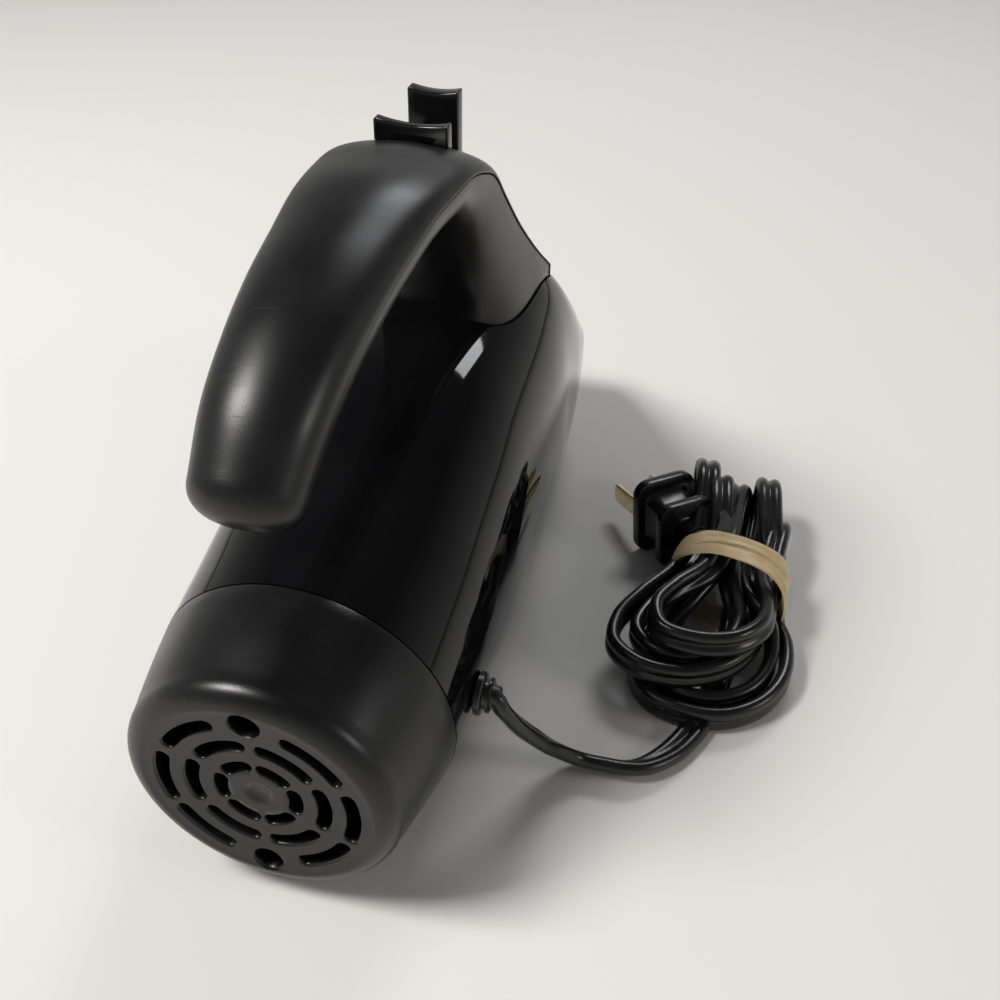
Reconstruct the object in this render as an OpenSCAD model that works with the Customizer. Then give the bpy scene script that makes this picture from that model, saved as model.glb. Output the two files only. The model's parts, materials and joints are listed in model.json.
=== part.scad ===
// Electric hand mixer, standing on its flat base with its cord bundled beside it.
// Every module draws in the motor frame: origin at the centre of the rear vent face,
// Y forward along the motor axis, Z up.  placed() then stands the mixer on z = 0 with
// its length centred on the origin.

/* [Body] */
// Overall length, vent face to nose
body_len = 216; // [205:1:265]
// Radius of the round motor end, which is also the height of the motor axis
motor_end_r = 35.5; // [33:0.5:43]
// Half width of the body at its widest
body_half_w = 36.3; // [34:0.1:44]
// Height of the deck under the handle, above the motor axis
deck_h = 51; // [48:0.5:62]
// Wall of the housings
wall = 2.2; // [1.6:0.1:3]
// Height of the housing split below the motor axis
split_drop = 1; // [1:0.5:8]
// Gap between the edges of neighbouring shells
shell_gap = 0.15; // [0.1:0.05:0.4]

/* [Rear cap] */
// Length of the rear cap along the motor axis
cap_len = 27.4; // [22:0.2:36]
// Radius of the rear cap at its vent face
cap_face_r = 31.2; // [29:0.1:33]
// Edge rounding of the rear cap
cap_round = 5; // [2:0.5:7]
// Width of each vent slot
slot_w = 3; // [2:0.1:4]
// Radius of the outer ring of vent slots
slot_ring_r = 21.5; // [19:0.5:23]
// Step between the rings of vent slots
slot_ring_step = 6.5; // [5:0.1:7]
// Distance of each cap screw from the motor axis
cap_screw_r = 22.5; // [21:0.5:24]
// Diameter of the recessed screw holes
cap_screw_hole_d = 6.7; // [6:0.1:8]

/* [Handle] */
// Height of the handle seam line at its crest, above the motor axis
handle_h = 97.4; // [88:0.1:118]
// Distance from the vent face to the rear end of the handle
handle_rear = 11; // [5:0.5:18]
// Half width of the handle at its crest
handle_half_w = 17.8; // [15:0.1:22]
// Wall of the grip and the handle frame
grip_wall = 2.2; // [1.6:0.1:3]

/* [Controls] */
// Width of the speed slider
slider_w = 17.8; // [12:0.1:22]
// Height of the speed slider above the handle
slider_h = 4; // [3:0.5:9]
// Travel of the speed slider
slider_travel = 9; // [6:0.5:10]
// Width of the ejector lever
ejector_w = 12.6; // [10:0.1:16]
// Height of the ejector lever's top above the motor axis
ejector_top = 106; // [98:0.1:128]
// Travel of the ejector
ejector_travel = 5; // [3:0.5:6]

/* [Drive] */
// Radius of the motor shaft
shaft_r = 2.5; // [2:0.1:3]
// Length of the stator stack
stack_len = 26; // [20:1:32]
// Outer radius of the armature core
armature_r = 12; // [10:0.5:13]
// Gap between the armature and the stator
air_gap = 0.5; // [0.3:0.1:1]
// Radius of the cooling fan
fan_r = 26; // [20:0.5:28]
// Gear module
gear_mod = 1; // [0.9:0.02:1.02]
// Teeth on each beater gear
gear_teeth = 24; // [22:2:24]
// Radius of the beater socket bore
socket_bore_r = 3.1; // [2.5:0.1:3.4]
// Outer radius of each beater socket
socket_r = 4.6; // [4.2:0.1:5.2]
// Radial clearance of every shaft in its bush
running_fit = 0.04; // [0.02:0.01:0.1]

/* [Cord] */
// Width of the flat cord
cord_w = 7.5; // [6:0.1:8]
// Thickness of the flat cord
cord_t = 3.8; // [3:0.1:4]

/* [Hidden] */
$fn = 64;

// ---- colours
gloss_black = [0.03, 0.03, 0.035];
satin_black = [0.09, 0.09, 0.1];
grip_black = [0.13, 0.13, 0.14];
steel = [0.72, 0.73, 0.75];
dark_steel = [0.38, 0.39, 0.41];
copper = [0.72, 0.42, 0.2];
white_nylon = [0.88, 0.87, 0.82];
latex = [0.82, 0.7, 0.5];

// ---- body sections: [distance along, half width, top, bottom, squareness], from the motor axis
nose_len = 51;
neck_len = 57;
slope_y = body_len - nose_len;
crest_y = slope_y - neck_len;
deck_y = crest_y + 10;
belly_y = (cap_len + deck_y) / 2;
chin = motor_end_r + 3.5;
BODY = [
    [cap_len, motor_end_r, motor_end_r, motor_end_r, 2],
    [cap_len + 12, (motor_end_r + body_half_w) / 2, motor_end_r * 0.85 + deck_h * 0.15, motor_end_r + 0.6, 2.1],
    [cap_len + 30, body_half_w, motor_end_r * 0.6 + deck_h * 0.4, motor_end_r + 1.5, 2.3],
    [belly_y + 6, body_half_w, motor_end_r * 0.32 + deck_h * 0.68, motor_end_r + 2.5, 2.5],
    [crest_y - 10, body_half_w * 0.98, motor_end_r * 0.1 + deck_h * 0.9, chin, 2.8],
    [deck_y, body_half_w * 0.97, deck_h, chin, 3],
    [deck_y + 24, body_half_w * 0.94, deck_h + 0.5, chin, 3.2],
    [slope_y - 8, body_half_w * 0.9, deck_h, chin, 3.2],
    [slope_y + 2, body_half_w * 0.88, deck_h - 3.5, chin, 3.2],
    [slope_y + 13, body_half_w * 0.86, deck_h - 13, chin, 3.2],
    [slope_y + 24, body_half_w * 0.83, deck_h - 23.5, chin - 0.5, 3],
    [slope_y + 33, body_half_w * 0.8, deck_h - 33, chin - 4, 2.8],
    [slope_y + 41, body_half_w * 0.75, deck_h - 42, chin - 10, 2.6],
    [slope_y + 46.5, body_half_w * 0.66, deck_h - 49, chin - 17, 2.4],
    [slope_y + 50, body_half_w * 0.5, deck_h - 53.5, chin - 23.5, 2.2],
    [body_len, body_half_w * 0.3, deck_h - 56, chin - 28, 2]
];
BODY_SIDES = 40;

// ---- handle: bar stations are [share of bar length, drop below crest, half width share,
// tilt of the section, crown height, depth]
neck_z = deck_h - 5;
bar_len = crest_y - handle_rear;
end_tilt = 44;
end_round = 7.2;
BAR = [
    [0.054, 27.2, 0.635, end_tilt, 8.5, 12],
    [0.156, 18.3, 0.697, 39, 8.8, 12],
    [0.278, 11.7, 0.742, 25, 8.8, 12],
    [0.418, 6.7, 0.798, 17, 8.5, 12],
    [0.557, 3.4, 0.848, 12, 7.8, 12],
    [0.711, 0.4, 0.916, 6, 6.6, 12],
    [0.835, 0, 0.966, -1, 5.5, 12],
    [0.948, 0.7, 0.99, -9, 5, 13]
];
// neck stations: [seam distance from crest, seam height share, inner distance from crest,
// inner height share, half width, squareness]
neck_half_w = body_half_w * 0.63;
neck_flare = neck_half_w - handle_half_w;
NECK = [
    [4, 0.965, -2, 0.685, handle_half_w, 2.3],
    [12, 0.885, 2.5, 0.555, handle_half_w, 2.6],
    [22, 0.685, 6, 0.413, handle_half_w + neck_flare * 0.08, 3],
    [34, 0.433, 8.5, 0.272, handle_half_w + neck_flare * 0.28, 3.6],
    [48, 0.161, 10.5, 0.121, handle_half_w + neck_flare * 0.68, 4.4],
    [neck_len, 0, 10.4, 0, neck_half_w, 5]
];
neck_crown = 4.8;
HANDLE_SIDES = 32;
neck_rise = handle_h - 1.8 - neck_z;

// ---- controls
slider_y = crest_y + 4;
slider_t = 3;
slider_stem_w = 9;
slider_stem_drop = 11;
carriage_drop = 9;
carriage_t = 2.5;
carriage_len = 15;
slider_foot_z = handle_h + 1;
slider_hollow_r = 30;
lever_hollow_r = 25;
ejector_y = crest_y + 21;
ejector_t = 4;
ejector_foot_z = handle_h - 17.4;
ejector_rod_r = 2.5;
control_gap = 0.5;
spring_wire_r = 0.45;
spring_r = 3.8;
spring_turns = 6;
guide_z = neck_z + 14;
guide_t = 2;
collar_t = 1.5;
spring_len = 12;

// ---- motor
stator_y = cap_len + 17;
stator_half_w = 24;
stator_half_h = 20;
pole_half_h = 6.3;
coil_side = 5;
coil_x = armature_r + air_gap + 1;
commutator_y = stator_y - 11.4;
commutator_len = 8;
commutator_r = 8;
bracket_y = stator_y - 18.4;
bracket_t = 3;
bolt_x = coil_x + coil_side + 2.6;
bearing_len = 7;
fan_y = stator_y + stack_len + 7.6;
fan_len = 10;
cradle_gap = 0.05;

// ---- gears
gear_r = gear_mod * gear_teeth / 2;
worm_pitch = PI * gear_mod;
worm_r = 4.2 * gear_mod;
worm_tip_r = worm_r + 0.7 * gear_mod;
worm_root_r = worm_r - 1.1 * gear_mod;
gear_tip_r = gear_r + 0.8 * gear_mod;
gear_root_r = gear_r - 1 * gear_mod;
lead_angle = atan(worm_pitch / (2 * PI * worm_r));
gear_face = 5;
gear_hub_r = 7;
gear_hub_len = 10;
spindle_x = gear_r + worm_r;
spindle_y = slope_y - 15;
worm_turns = 5;
worm_len = worm_turns * worm_pitch;
worm_steps = 8;
worm_sides = 24;
frame_half_w = 27;
frame_half_len = 20;
frame_t = 3;
frame_z = 8;
frame_screw_x = 21;
frame_screw_dy = 16.5;
bush_wall = 2;
bush_r = shaft_r + bush_wall;
socket_bottom = -motor_end_r + 1;
socket_top = frame_z + frame_t + 0.5;
socket_grip = 36;
plate_z = socket_top + ejector_travel + 1;
plate_t = 2.5;
pin_r = socket_bore_r - 0.7;

// ---- screws
screw_r = 1.5;
screw_hole_r = 1.8;
pilot_r = 1.55;
screw_head_r = 2.9;
screw_head_t = 2;
boss_r = 4;
base_screw_x = 21;
base_screw_y = fan_y + fan_len + 24;
base_screw_nose_y = slope_y + 27;
nose_rib_half_w = body_half_w * 0.78;
neck_screw_x = 12.5;
neck_screw_y = crest_y + 32;
shelf_end = body_half_w - 6.4;
grip_screw_share = [0.22, 0.54];
grip_seat = 2.6;
grip_boss = 5;

// ---- cord
relief_y = cap_len + 14;
relief_z = -split_drop;
relief_x = body_half_w - 0.2;
relief_neck_r = 3.2;
relief_flange_r = 5;
relief_flange_t = 2.2;
relief_boot_r = 3.1;
cord_sides = 8;
floor_z = -motor_end_r;
cord_z = floor_z + cord_t / 2;
ROUTE = [
    [40.5, 41.4, -2], [43, 42, -6], [45.2, 44.4, -14], [47.8, 48, -23], [51.3, 51.8, -30], [57, 54.5, -33.1],
    [66, 54.3, -33.1], [75, 57.3, -33.1], [81.5, 63.2, -33.1], [86, 70.3, -33.1], [88, 77.5, -33.1]
];
HANK = [[83.5, 99, 22.5], [91, 150.5, 13]];
hank_h = 23;
band_share = [0.32, 0.48];
band_t = 0.8;
plug_pos = [66.8, 147.5];
plug_turn = 40;
plug_tilt = 10.5;

function spow(v, e) = sign(v) * pow(abs(v), e);
function lerp(a, b, t) = a + (b - a) * t;

module placed() {
    translate([0, -body_len / 2, motor_end_r]) children();
}

// Closed surface through rings that all have the same number of points
module loft(rings) {
    n = len(rings[0]);
    m = len(rings);
    sides = [
        for (i = [0:m - 2], j = [0:n - 1])
            each [
                [i * n + j, i * n + (j + 1) % n, (i + 1) * n + j],
                [i * n + (j + 1) % n, (i + 1) * n + (j + 1) % n, (i + 1) * n + j]
            ]
    ];
    ends = [[for (j = [n - 1:-1:0]) j], [for (j = [0:n - 1]) (m - 1) * n + j]];
    polyhedron([for (r = rings) each r], concat(sides, ends), convexity = 8);
}

// ---- body shell
function body_centre(y) = -split_drop * (y - cap_len) / (body_len - cap_len);
function body_ring(s, inset, shift) =
    let (cz = body_centre(s[0]), n = s[4])
    [
        for (i = [0:BODY_SIDES - 1])
            let (
                a = 360 * i / BODY_SIDES,
                x = (s[1] - inset) * spow(cos(a), 2 / n),
                up = sin(a) >= 0,
                reach = up ? s[2] - inset - cz : s[3] - inset + cz,
                z = cz + reach * spow(sin(a), 2 / n)
            )
            [x, s[0] - shift, max(z, inset - motor_end_r)]
    ];

module body_outside() {
    loft([for (s = BODY) body_ring(s, 0, 0)]);
}

module body_inside() {
    loft([for (s = BODY) body_ring(s, wall, s[0] == cap_len ? 1 : wall)]);
}

module body_shell() {
    difference() {
        body_outside();
        body_inside();
    }
}

// Everything above (+1) or below (-1) the housing split
module half_space(side) {
    z0 = side > 0 ? -split_drop + shell_gap / 2 : -split_drop - shell_gap / 2 - 100;
    translate([-100, -50, z0]) cube([200, body_len + 100, 100]);
}

// ---- handle shell
function bar_station(b) =
    let (
        seam = [handle_rear + bar_len * b[0], handle_h - b[1]],
        up = [-sin(b[3]), cos(b[3])]
    )
    [seam, seam - up * b[5], handle_half_w * b[2], b[4], 2.3];
function neck_station(k) = [
    [crest_y + k[0], neck_z + neck_rise * k[1]],
    [crest_y + k[2], neck_z + neck_rise * k[3]],
    k[4], neck_crown, k[5]
];
STATIONS = concat([for (b = BAR) bar_station(b)], [for (k = NECK) neck_station(k)]);
END_STEPS = [[1, 0.15], [0.92, 0.45], [0.72, 0.71], [0.4, 0.91]];

function handle_ring(s, inset, k = 1, move = [0, 0]) =
    let (
        depth = norm(s[0] - s[1]),
        up = (s[0] - s[1]) / depth,
        mid = s[0] - up * (depth - s[3]) / 2
    )
    [
        for (i = [0:HANDLE_SIDES - 1])
            let (
                a = 360 * i / HANDLE_SIDES,
                n = sin(a) >= 0 ? 2 : s[4],
                x = (s[2] - inset) * k * spow(cos(a), 2 / n),
                reach = sin(a) >= 0 ? s[3] - inset : depth - inset,
                v = reach * spow(sin(a), 2 / n),
                p = mid + move + (s[0] + up * v - mid) * k
            )
            [x, p[0], p[1]]
    ];

module handle_solid(inset) {
    back = [-cos(end_tilt), -sin(end_tilt)];
    reach = end_round - inset;
    last = STATIONS[len(STATIONS) - 1];
    loft(concat(
        [for (e = END_STEPS) handle_ring(STATIONS[0], inset, e[1], back * reach * e[0])],
        [for (s = STATIONS) handle_ring(s, inset)],
        inset > 0 ? [handle_ring(last, inset, 1, [0, -3])] : []
    ));
}

module handle_shell() {
    difference() {
        handle_solid(0);
        handle_solid(grip_wall);
    }
}

// Side outline of everything above the grip's seam
function seam_line(gap) = [
    for (s = STATIONS) s[0] - (s[0] - s[1]) / norm(s[0] - s[1]) * gap
];
module above_seam(gap) {
    first = STATIONS[0][0];
    rotate([90, 0, 90])
        translate([0, 0, -60])
            linear_extrude(120)
                polygon(concat(
                    [
                        [handle_rear - 30, neck_z], [first[0] + 12, first[1] - 20],
                        [first[0] + 4.5 + gap, first[1] - 7], [first[0] + 1.2 + gap, first[1] - 3]
                    ],
                    seam_line(gap),
                    [[slope_y + 15, neck_z - gap], [slope_y + 15, handle_h + 30], [handle_rear - 30, handle_h + 30]]
                ));
}

// Plan outline of the neck where it meets the deck
module neck_plug(gap) {
    last = STATIONS[len(STATIONS) - 1];
    ring = handle_ring(last, -gap);
    translate([0, 0, neck_z - 4])
        linear_extrude(60)
            polygon([for (p = ring) [p[0], p[1]]]);
}

module panel_region(gap) {
    w = neck_half_w - 1 + gap;
    translate([-w, slope_y - 5, -split_drop + 5 - gap]) cube([2 * w, 100, 100]);
}

// Cylinders on the axes of the three base screws, from z0 up to z1
module base_posts(z0, z1, r) {
    for (x = [-base_screw_x, base_screw_x])
        translate([x, base_screw_y, z0]) cylinder(r = r, h = z1 - z0);
    translate([0, base_screw_nose_y, z0]) cylinder(r = r, h = z1 - z0);
}

module upper_housing() {
    placed() color(gloss_black) difference() {
        union() {
            intersection() {
                body_shell();
                half_space(1);
            }
            // posts for the base screws, tied to the walls by ribs
            base_posts(-split_drop + shell_gap / 2, 14, boss_r);
            for (s = [-1, 1])
                translate([s > 0 ? base_screw_x : -body_half_w + 2, base_screw_y - 1, -split_drop + shell_gap / 2])
                    cube([body_half_w - base_screw_x - 2, 2, 21]);
            translate([-nose_rib_half_w, base_screw_nose_y - 1, -split_drop + shell_gap / 2])
                cube([2 * nose_rib_half_w, 2, 4.5]);
            // shelf on each side that the neck screws pull against
            for (s = [-1, 1])
                translate([s > 0 ? 8 : -shelf_end, neck_screw_y - 5, neck_z - 12]) cube([shelf_end - 8, 10, 3]);
            // boss for the upper cap screw
            translate([0, cap_len + 0.1, cap_screw_r]) rotate([-90, 0, 0]) cylinder(r = boss_r, h = 12);
            translate([-1, cap_len + 0.1, cap_screw_r + 3]) cube([2, 12, motor_end_r - cap_screw_r - 4]);
            // rib that presses on the stator
            translate([-8, stator_y + 6, stator_half_h + cradle_gap]) cube([16, 3, 19.5]);
        }
        neck_plug(shell_gap);
        panel_region(shell_gap);
        base_posts(-split_drop - 1, 10, pilot_r);
        for (x = [-neck_screw_x, neck_screw_x])
            translate([x, neck_screw_y, neck_z - 13]) cylinder(r = screw_hole_r, h = 6);
        translate([0, cap_len, cap_screw_r]) rotate([-90, 0, 0]) cylinder(r = pilot_r, h = 11);
        translate([0, relief_y, relief_z]) rotate([0, 90, 0]) cylinder(r = relief_neck_r, h = 60);
    }
}

module lower_housing() {
    placed() color(gloss_black) difference() {
        union() {
            intersection() {
                body_shell();
                half_space(-1);
            }
            // tubes for the base screws
            base_posts(-motor_end_r + wall - 0.5, -split_drop - shell_gap / 2, boss_r);
            // posts under the gear frame
            for (x = [-frame_screw_x, frame_screw_x], y = [-frame_screw_dy, frame_screw_dy])
                translate([x, spindle_y + y, -motor_end_r + wall - 0.5])
                    cylinder(r = boss_r, h = motor_end_r - wall + 0.5 - frame_z - frame_t);
            // collars round the beater openings
            for (x = [-spindle_x, spindle_x])
                translate([x, spindle_y, -motor_end_r + wall - 0.5]) cylinder(r = socket_r + 3.2, h = 6);
            // boss for the lower cap screw
            translate([0, cap_len + 0.1, -cap_screw_r]) rotate([-90, 0, 0]) cylinder(r = boss_r, h = 12);
            translate([-1, cap_len + 0.1, -motor_end_r + 1]) cube([2, 12, motor_end_r - cap_screw_r - 4]);
            // cradle under the stator
            translate([-14, stator_y + 6, -motor_end_r + 1.5])
                cube([28, 3, motor_end_r - 1.5 - stator_half_h - cradle_gap]);
            translate([-14, stator_y + stack_len - 9, -motor_end_r + 1.5])
                cube([28, 3, motor_end_r - 1.5 - stator_half_h - cradle_gap]);
        }
        base_posts(-motor_end_r - 5, 0, screw_hole_r);
        base_posts(-motor_end_r - 5, -motor_end_r + 9, screw_head_r + 0.3);
        for (x = [-frame_screw_x, frame_screw_x], y = [-frame_screw_dy, frame_screw_dy])
            translate([x, spindle_y + y, -frame_z - frame_t - 10]) cylinder(r = pilot_r, h = 11);
        for (x = [-spindle_x, spindle_x])
            translate([x, spindle_y, -motor_end_r - 5]) cylinder(r = socket_r + 1.2, h = 20);
        translate([0, cap_len, -cap_screw_r]) rotate([-90, 0, 0]) cylinder(r = pilot_r, h = 11);
        translate([0, relief_y, relief_z]) rotate([0, 90, 0]) cylinder(r = relief_neck_r, h = 60);
    }
}

// ---- rear cap
slot_end_step = 0.06;
SLOT_RINGS = [
    [slot_ring_r, [41, 91, 138, 222, 269, 319], 17],
    [slot_ring_r - slot_ring_step, [30, 90, 150, 210, 270, 330], 20],
    [slot_ring_r - 2 * slot_ring_step, [30, 90, 150, 210, 270, 330], 18]
];

// One curved slot with round ends, cut along the axis
module vent_slot(r, middle, half_angle) {
    rotate([0, 0, 90 - middle - half_angle])
        rotate_extrude(angle = 2 * half_angle)
            translate([r - slot_w / 2, -1]) square([slot_w, 8]);
    for (a = [middle - half_angle, middle + half_angle])
        rotate([0, 0, 90 - a]) translate([r, 0, -1]) cylinder(d = slot_w - slot_end_step, h = 8, $fn = 32);
}

module cap_profile(inset) {
    r = cap_round - inset;
    face = cap_face_r - inset;
    polygon(concat(
        [[0, inset]],
        [for (a = [0:15:90]) [face - r + r * sin(a), inset + r - r * cos(a)]],
        [[motor_end_r - inset, cap_len], [motor_end_r - inset, cap_len + 1], [0, cap_len + 1]]
    ));
}

module rear_cap() {
    placed() color(satin_black) rotate([-90, 0, 0]) difference() {
        union() {
            difference() {
                rotate_extrude($fn = 96) cap_profile(0);
                rotate_extrude($fn = 96) cap_profile(wall);
                translate([0, 0, cap_len - shell_gap]) cylinder(r = 60, h = 5);
            }
            for (s = [-1, 1])
                translate([0, s * cap_screw_r, 1]) cylinder(d = cap_screw_hole_d + 3, h = cap_len - 1.2);
        }
        for (ring = SLOT_RINGS, a = ring[1])
            vent_slot(ring[0], a, ring[2]);
        for (s = [-1, 1]) {
            translate([0, s * cap_screw_r, -1]) cylinder(d = cap_screw_hole_d, h = cap_len - 5);
            translate([0, s * cap_screw_r, 0]) cylinder(r = screw_hole_r, h = cap_len + 5);
        }
        translate([0, 0, -1]) cylinder(d = 5.5, h = 1.6);
    }
}

// ---- front panel on the slope of the nose
module front_panel() {
    placed() color(satin_black) difference() {
        intersection() {
            body_shell();
            panel_region(0);
        }
        neck_plug(shell_gap);
    }
}

// ---- handle
function bar_point(share) =
    let (
        i = max([for (k = [0:len(BAR) - 2]) BAR[k][0] <= share ? k : 0]),
        t = (share - BAR[i][0]) / (BAR[i + 1][0] - BAR[i][0]),
        b = lerp(BAR[i], BAR[i + 1], t)
    )
    bar_station(b);

function bar_depth(share) = norm(bar_point(share)[0] - bar_point(share)[1]);

// Puts children at a point of the bar, with Z out of the crown
module on_bar(share) {
    s = bar_point(share);
    up = (s[0] - s[1]) / norm(s[0] - s[1]);
    translate([0, s[0][0], s[0][1]]) rotate([atan2(-up[0], up[1]), 0, 0]) children();
}

module handle_frame() {
    placed() color(satin_black) difference() {
        union() {
            difference() {
                handle_shell();
                above_seam(shell_gap);
            }
            // bosses for the neck screws, tied to the sides of the neck
            for (s = [-1, 1]) {
                translate([s * neck_screw_x, neck_screw_y, neck_z - 8.9]) cylinder(r = boss_r, h = 18);
                translate([s > 0 ? neck_screw_x : -neck_half_w + 2, neck_screw_y - 1, neck_z + 0.5])
                    cube([neck_half_w - neck_screw_x - 2, 2, 8]);
            }
            // seats for the heads of the grip screws
            for (share = grip_screw_share)
                on_bar(share) translate([0, 0, 0.6 - bar_depth(share)]) cylinder(r = boss_r + 0.8, h = grip_boss - 0.7);
            // cross wall that guides the ejector rod and carries its spring
            translate([-handle_half_w + 1, ejector_y - 6, guide_z - guide_t])
                cube([2 * handle_half_w - 2, 12, guide_t]);
        }
        for (s = [-1, 1])
            translate([s * neck_screw_x, neck_screw_y, neck_z - 10]) cylinder(r = pilot_r, h = 16);
        translate([0, ejector_y, guide_z - 5]) cylinder(r = ejector_rod_r + 0.1, h = 10);
        for (share = grip_screw_share)
            on_bar(share) translate([0, 0, -bar_depth(share)]) {
                translate([0, 0, -10]) cylinder(r = screw_head_r + 0.3, h = 10 + grip_seat);
                cylinder(r = screw_hole_r, h = 10);
            }
    }
}

module handle_grip() {
    placed() color(grip_black) difference() {
        union() {
            intersection() {
                handle_shell();
                above_seam(0);
            }
            for (share = grip_screw_share)
                on_bar(share) translate([0, 0, grip_boss - bar_depth(share)])
                    cylinder(r = boss_r, h = bar_depth(share) - grip_boss + 4);
        }
        for (share = grip_screw_share)
            on_bar(share) translate([0, 0, -bar_depth(share)]) cylinder(r = pilot_r, h = bar_depth(share) + 3);
        // slots for the slider stem and the ejector blade
        translate([-slider_stem_w / 2 - control_gap, slider_y - slider_t / 2 - 1.2, handle_h - 6])
            cube([slider_stem_w + 2 * control_gap, slider_t + slider_travel + 1.6, 30]);
        translate([-ejector_w / 2 - control_gap, ejector_y - ejector_t / 2 - control_gap, ejector_foot_z - 2])
            cube([ejector_w + 2 * control_gap, ejector_t + 2 * control_gap, 40]);
    }
}

// ---- speed slider and switch
module speed_slider() {
    placed() color(gloss_black) union() {
        difference() {
            translate([-slider_w / 2, slider_y - slider_t / 2, slider_foot_z + 1.6])
                cube([slider_w, slider_t, slider_h]);
            translate([0, slider_y - slider_t / 2 + 1 - slider_hollow_r, slider_foot_z])
                cylinder(r = slider_hollow_r, h = 20, $fn = 128);
        }
        translate([-slider_stem_w / 2, slider_y - slider_t / 2 + 0.8, handle_h - slider_stem_drop])
            cube([slider_stem_w, slider_t - 0.8, slider_foot_z + 2.6 - handle_h + slider_stem_drop]);
    }
}

module switch_carriage() {
    placed() color(white_nylon) union() {
        translate([-5, slider_y - carriage_len, handle_h - carriage_drop])
            cube([10, carriage_len - slider_t / 2 + 0.8, carriage_t]);
        translate([-3, slider_y - carriage_len, handle_h - carriage_drop + carriage_t - 0.1]) cube([6, 3, 5]);
    }
}

module speed_switch() {
    placed() color(satin_black) union() {
        translate([-9, slider_y - 38, handle_h - 7]) cube([18, 22, 7.5]);
        for (x = [-5, 0, 5])
            translate([x - 0.4, slider_y - 42, handle_h - 4]) cube([0.8, 4, 2.5]);
    }
}

// ---- ejector
module ejector_lever() {
    placed() color(gloss_black) difference() {
        translate([-ejector_w / 2, ejector_y - ejector_t / 2, ejector_foot_z])
            cube([ejector_w, ejector_t, ejector_top - ejector_foot_z]);
        translate([0, ejector_y - 10, ejector_top + lever_hollow_r - 1]) rotate([-90, 0, 0])
            cylinder(r = lever_hollow_r, h = 20, $fn = 128);
    }
}

module ejector_rod() {
    placed() color(steel) union() {
        translate([0, ejector_y, plate_z + plate_t])
            cylinder(r = ejector_rod_r, h = ejector_foot_z - plate_z - plate_t);
        translate([0, ejector_y, guide_z + spring_len]) cylinder(r = spring_r + 1, h = collar_t);
    }
}

module ejector_plate() {
    placed() color(white_nylon) union() {
        translate([-spindle_x - 4, spindle_y - 4, plate_z]) cube([2 * spindle_x + 8, 8, plate_t]);
        translate([-5, min(ejector_y, spindle_y) - 4, plate_z])
            cube([10, abs(spindle_y - ejector_y) + 8, plate_t]);
        for (x = [-spindle_x, spindle_x])
            translate([x, spindle_y, frame_z]) cylinder(r = pin_r, h = plate_z - frame_z + 1);
    }
}

module ejector_spring() {
    steps = 12;
    sides = 6;
    coils = spring_turns * steps;
    rise = spring_len - 2 * spring_wire_r - 0.1;
    placed() color(steel) translate([0, ejector_y, guide_z + spring_wire_r + 0.05])
        loft([
            for (i = [0:coils])
                let (a = 360 * i / steps)
                [
                    for (j = [0:sides - 1])
                        let (b = 360 * j / sides, r = spring_r + spring_wire_r * cos(b))
                        [r * cos(a), r * sin(a), rise * i / coils + spring_wire_r * sin(b)]
                ]
        ]);
}

// ---- screws: head, shank, pointing along +Z with the head's underside at z = 0
module screw(length) {
    difference() {
        union() {
            translate([0, 0, -1]) cylinder(r = screw_r, h = length + 1);
            translate([0, 0, -screw_head_t]) cylinder(r = screw_head_r, h = screw_head_t);
        }
        for (a = [0, 90])
            rotate([0, 0, a]) translate([-1.8, -0.4, -screw_head_t - 1]) cube([3.6, 0.8, 2]);
    }
}

module cap_screws() {
    placed() color(dark_steel)
        for (s = [-1, 1])
            translate([0, cap_len - 6, s * cap_screw_r]) rotate([-90, 0, 0]) screw(16);
}

module base_screws() {
    placed() color(dark_steel) {
        for (x = [-base_screw_x, base_screw_x])
            translate([x, base_screw_y, -motor_end_r + 9]) screw(motor_end_r);
        translate([0, base_screw_nose_y, -motor_end_r + 9]) screw(motor_end_r);
    }
}

module neck_screws() {
    placed() color(dark_steel)
        for (s = [-1, 1])
            translate([s * neck_screw_x, neck_screw_y, neck_z - 12]) screw(16);
}

module grip_screws() {
    placed() color(dark_steel)
        for (share = grip_screw_share)
            on_bar(share) translate([0, 0, grip_seat - bar_depth(share)]) screw(bar_depth(share));
}

module frame_screws() {
    placed() color(dark_steel)
        for (x = [-frame_screw_x, frame_screw_x], y = [-frame_screw_dy, frame_screw_dy])
            translate([x, spindle_y + y, frame_z + frame_t]) mirror([0, 0, 1]) screw(2 * (frame_z + frame_t) + 8);
}

// ---- motor
module along_y(y) {
    translate([0, y, 0]) rotate([-90, 0, 0]) children();
}

module stator_core() {
    placed() color(dark_steel) difference() {
        translate([-stator_half_w, stator_y, -stator_half_h])
            cube([2 * stator_half_w, stack_len, 2 * stator_half_h]);
        along_y(stator_y - 1) cylinder(r = armature_r + air_gap, h = stack_len + 2);
        for (s = [-1, 1], t = [-1, 1]) {
            translate([s > 0 ? coil_x - 0.1 : -coil_x - coil_side - 0.1, stator_y - 1,
                       t > 0 ? pole_half_h : -pole_half_h - coil_side - 0.1])
                cube([coil_side + 0.2, stack_len + 2, coil_side + 0.1]);
            translate([s * (stator_half_w + 6), stator_y - 1, t * (stator_half_h + 6)])
                rotate([-90, 0, 0]) cylinder(r = 11, h = stack_len + 2);
        }
        for (s = [-1, 1])
            translate([s * bolt_x, 0, 0]) along_y(stator_y - 1) cylinder(r = screw_hole_r, h = stack_len + 2);
    }
}

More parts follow.
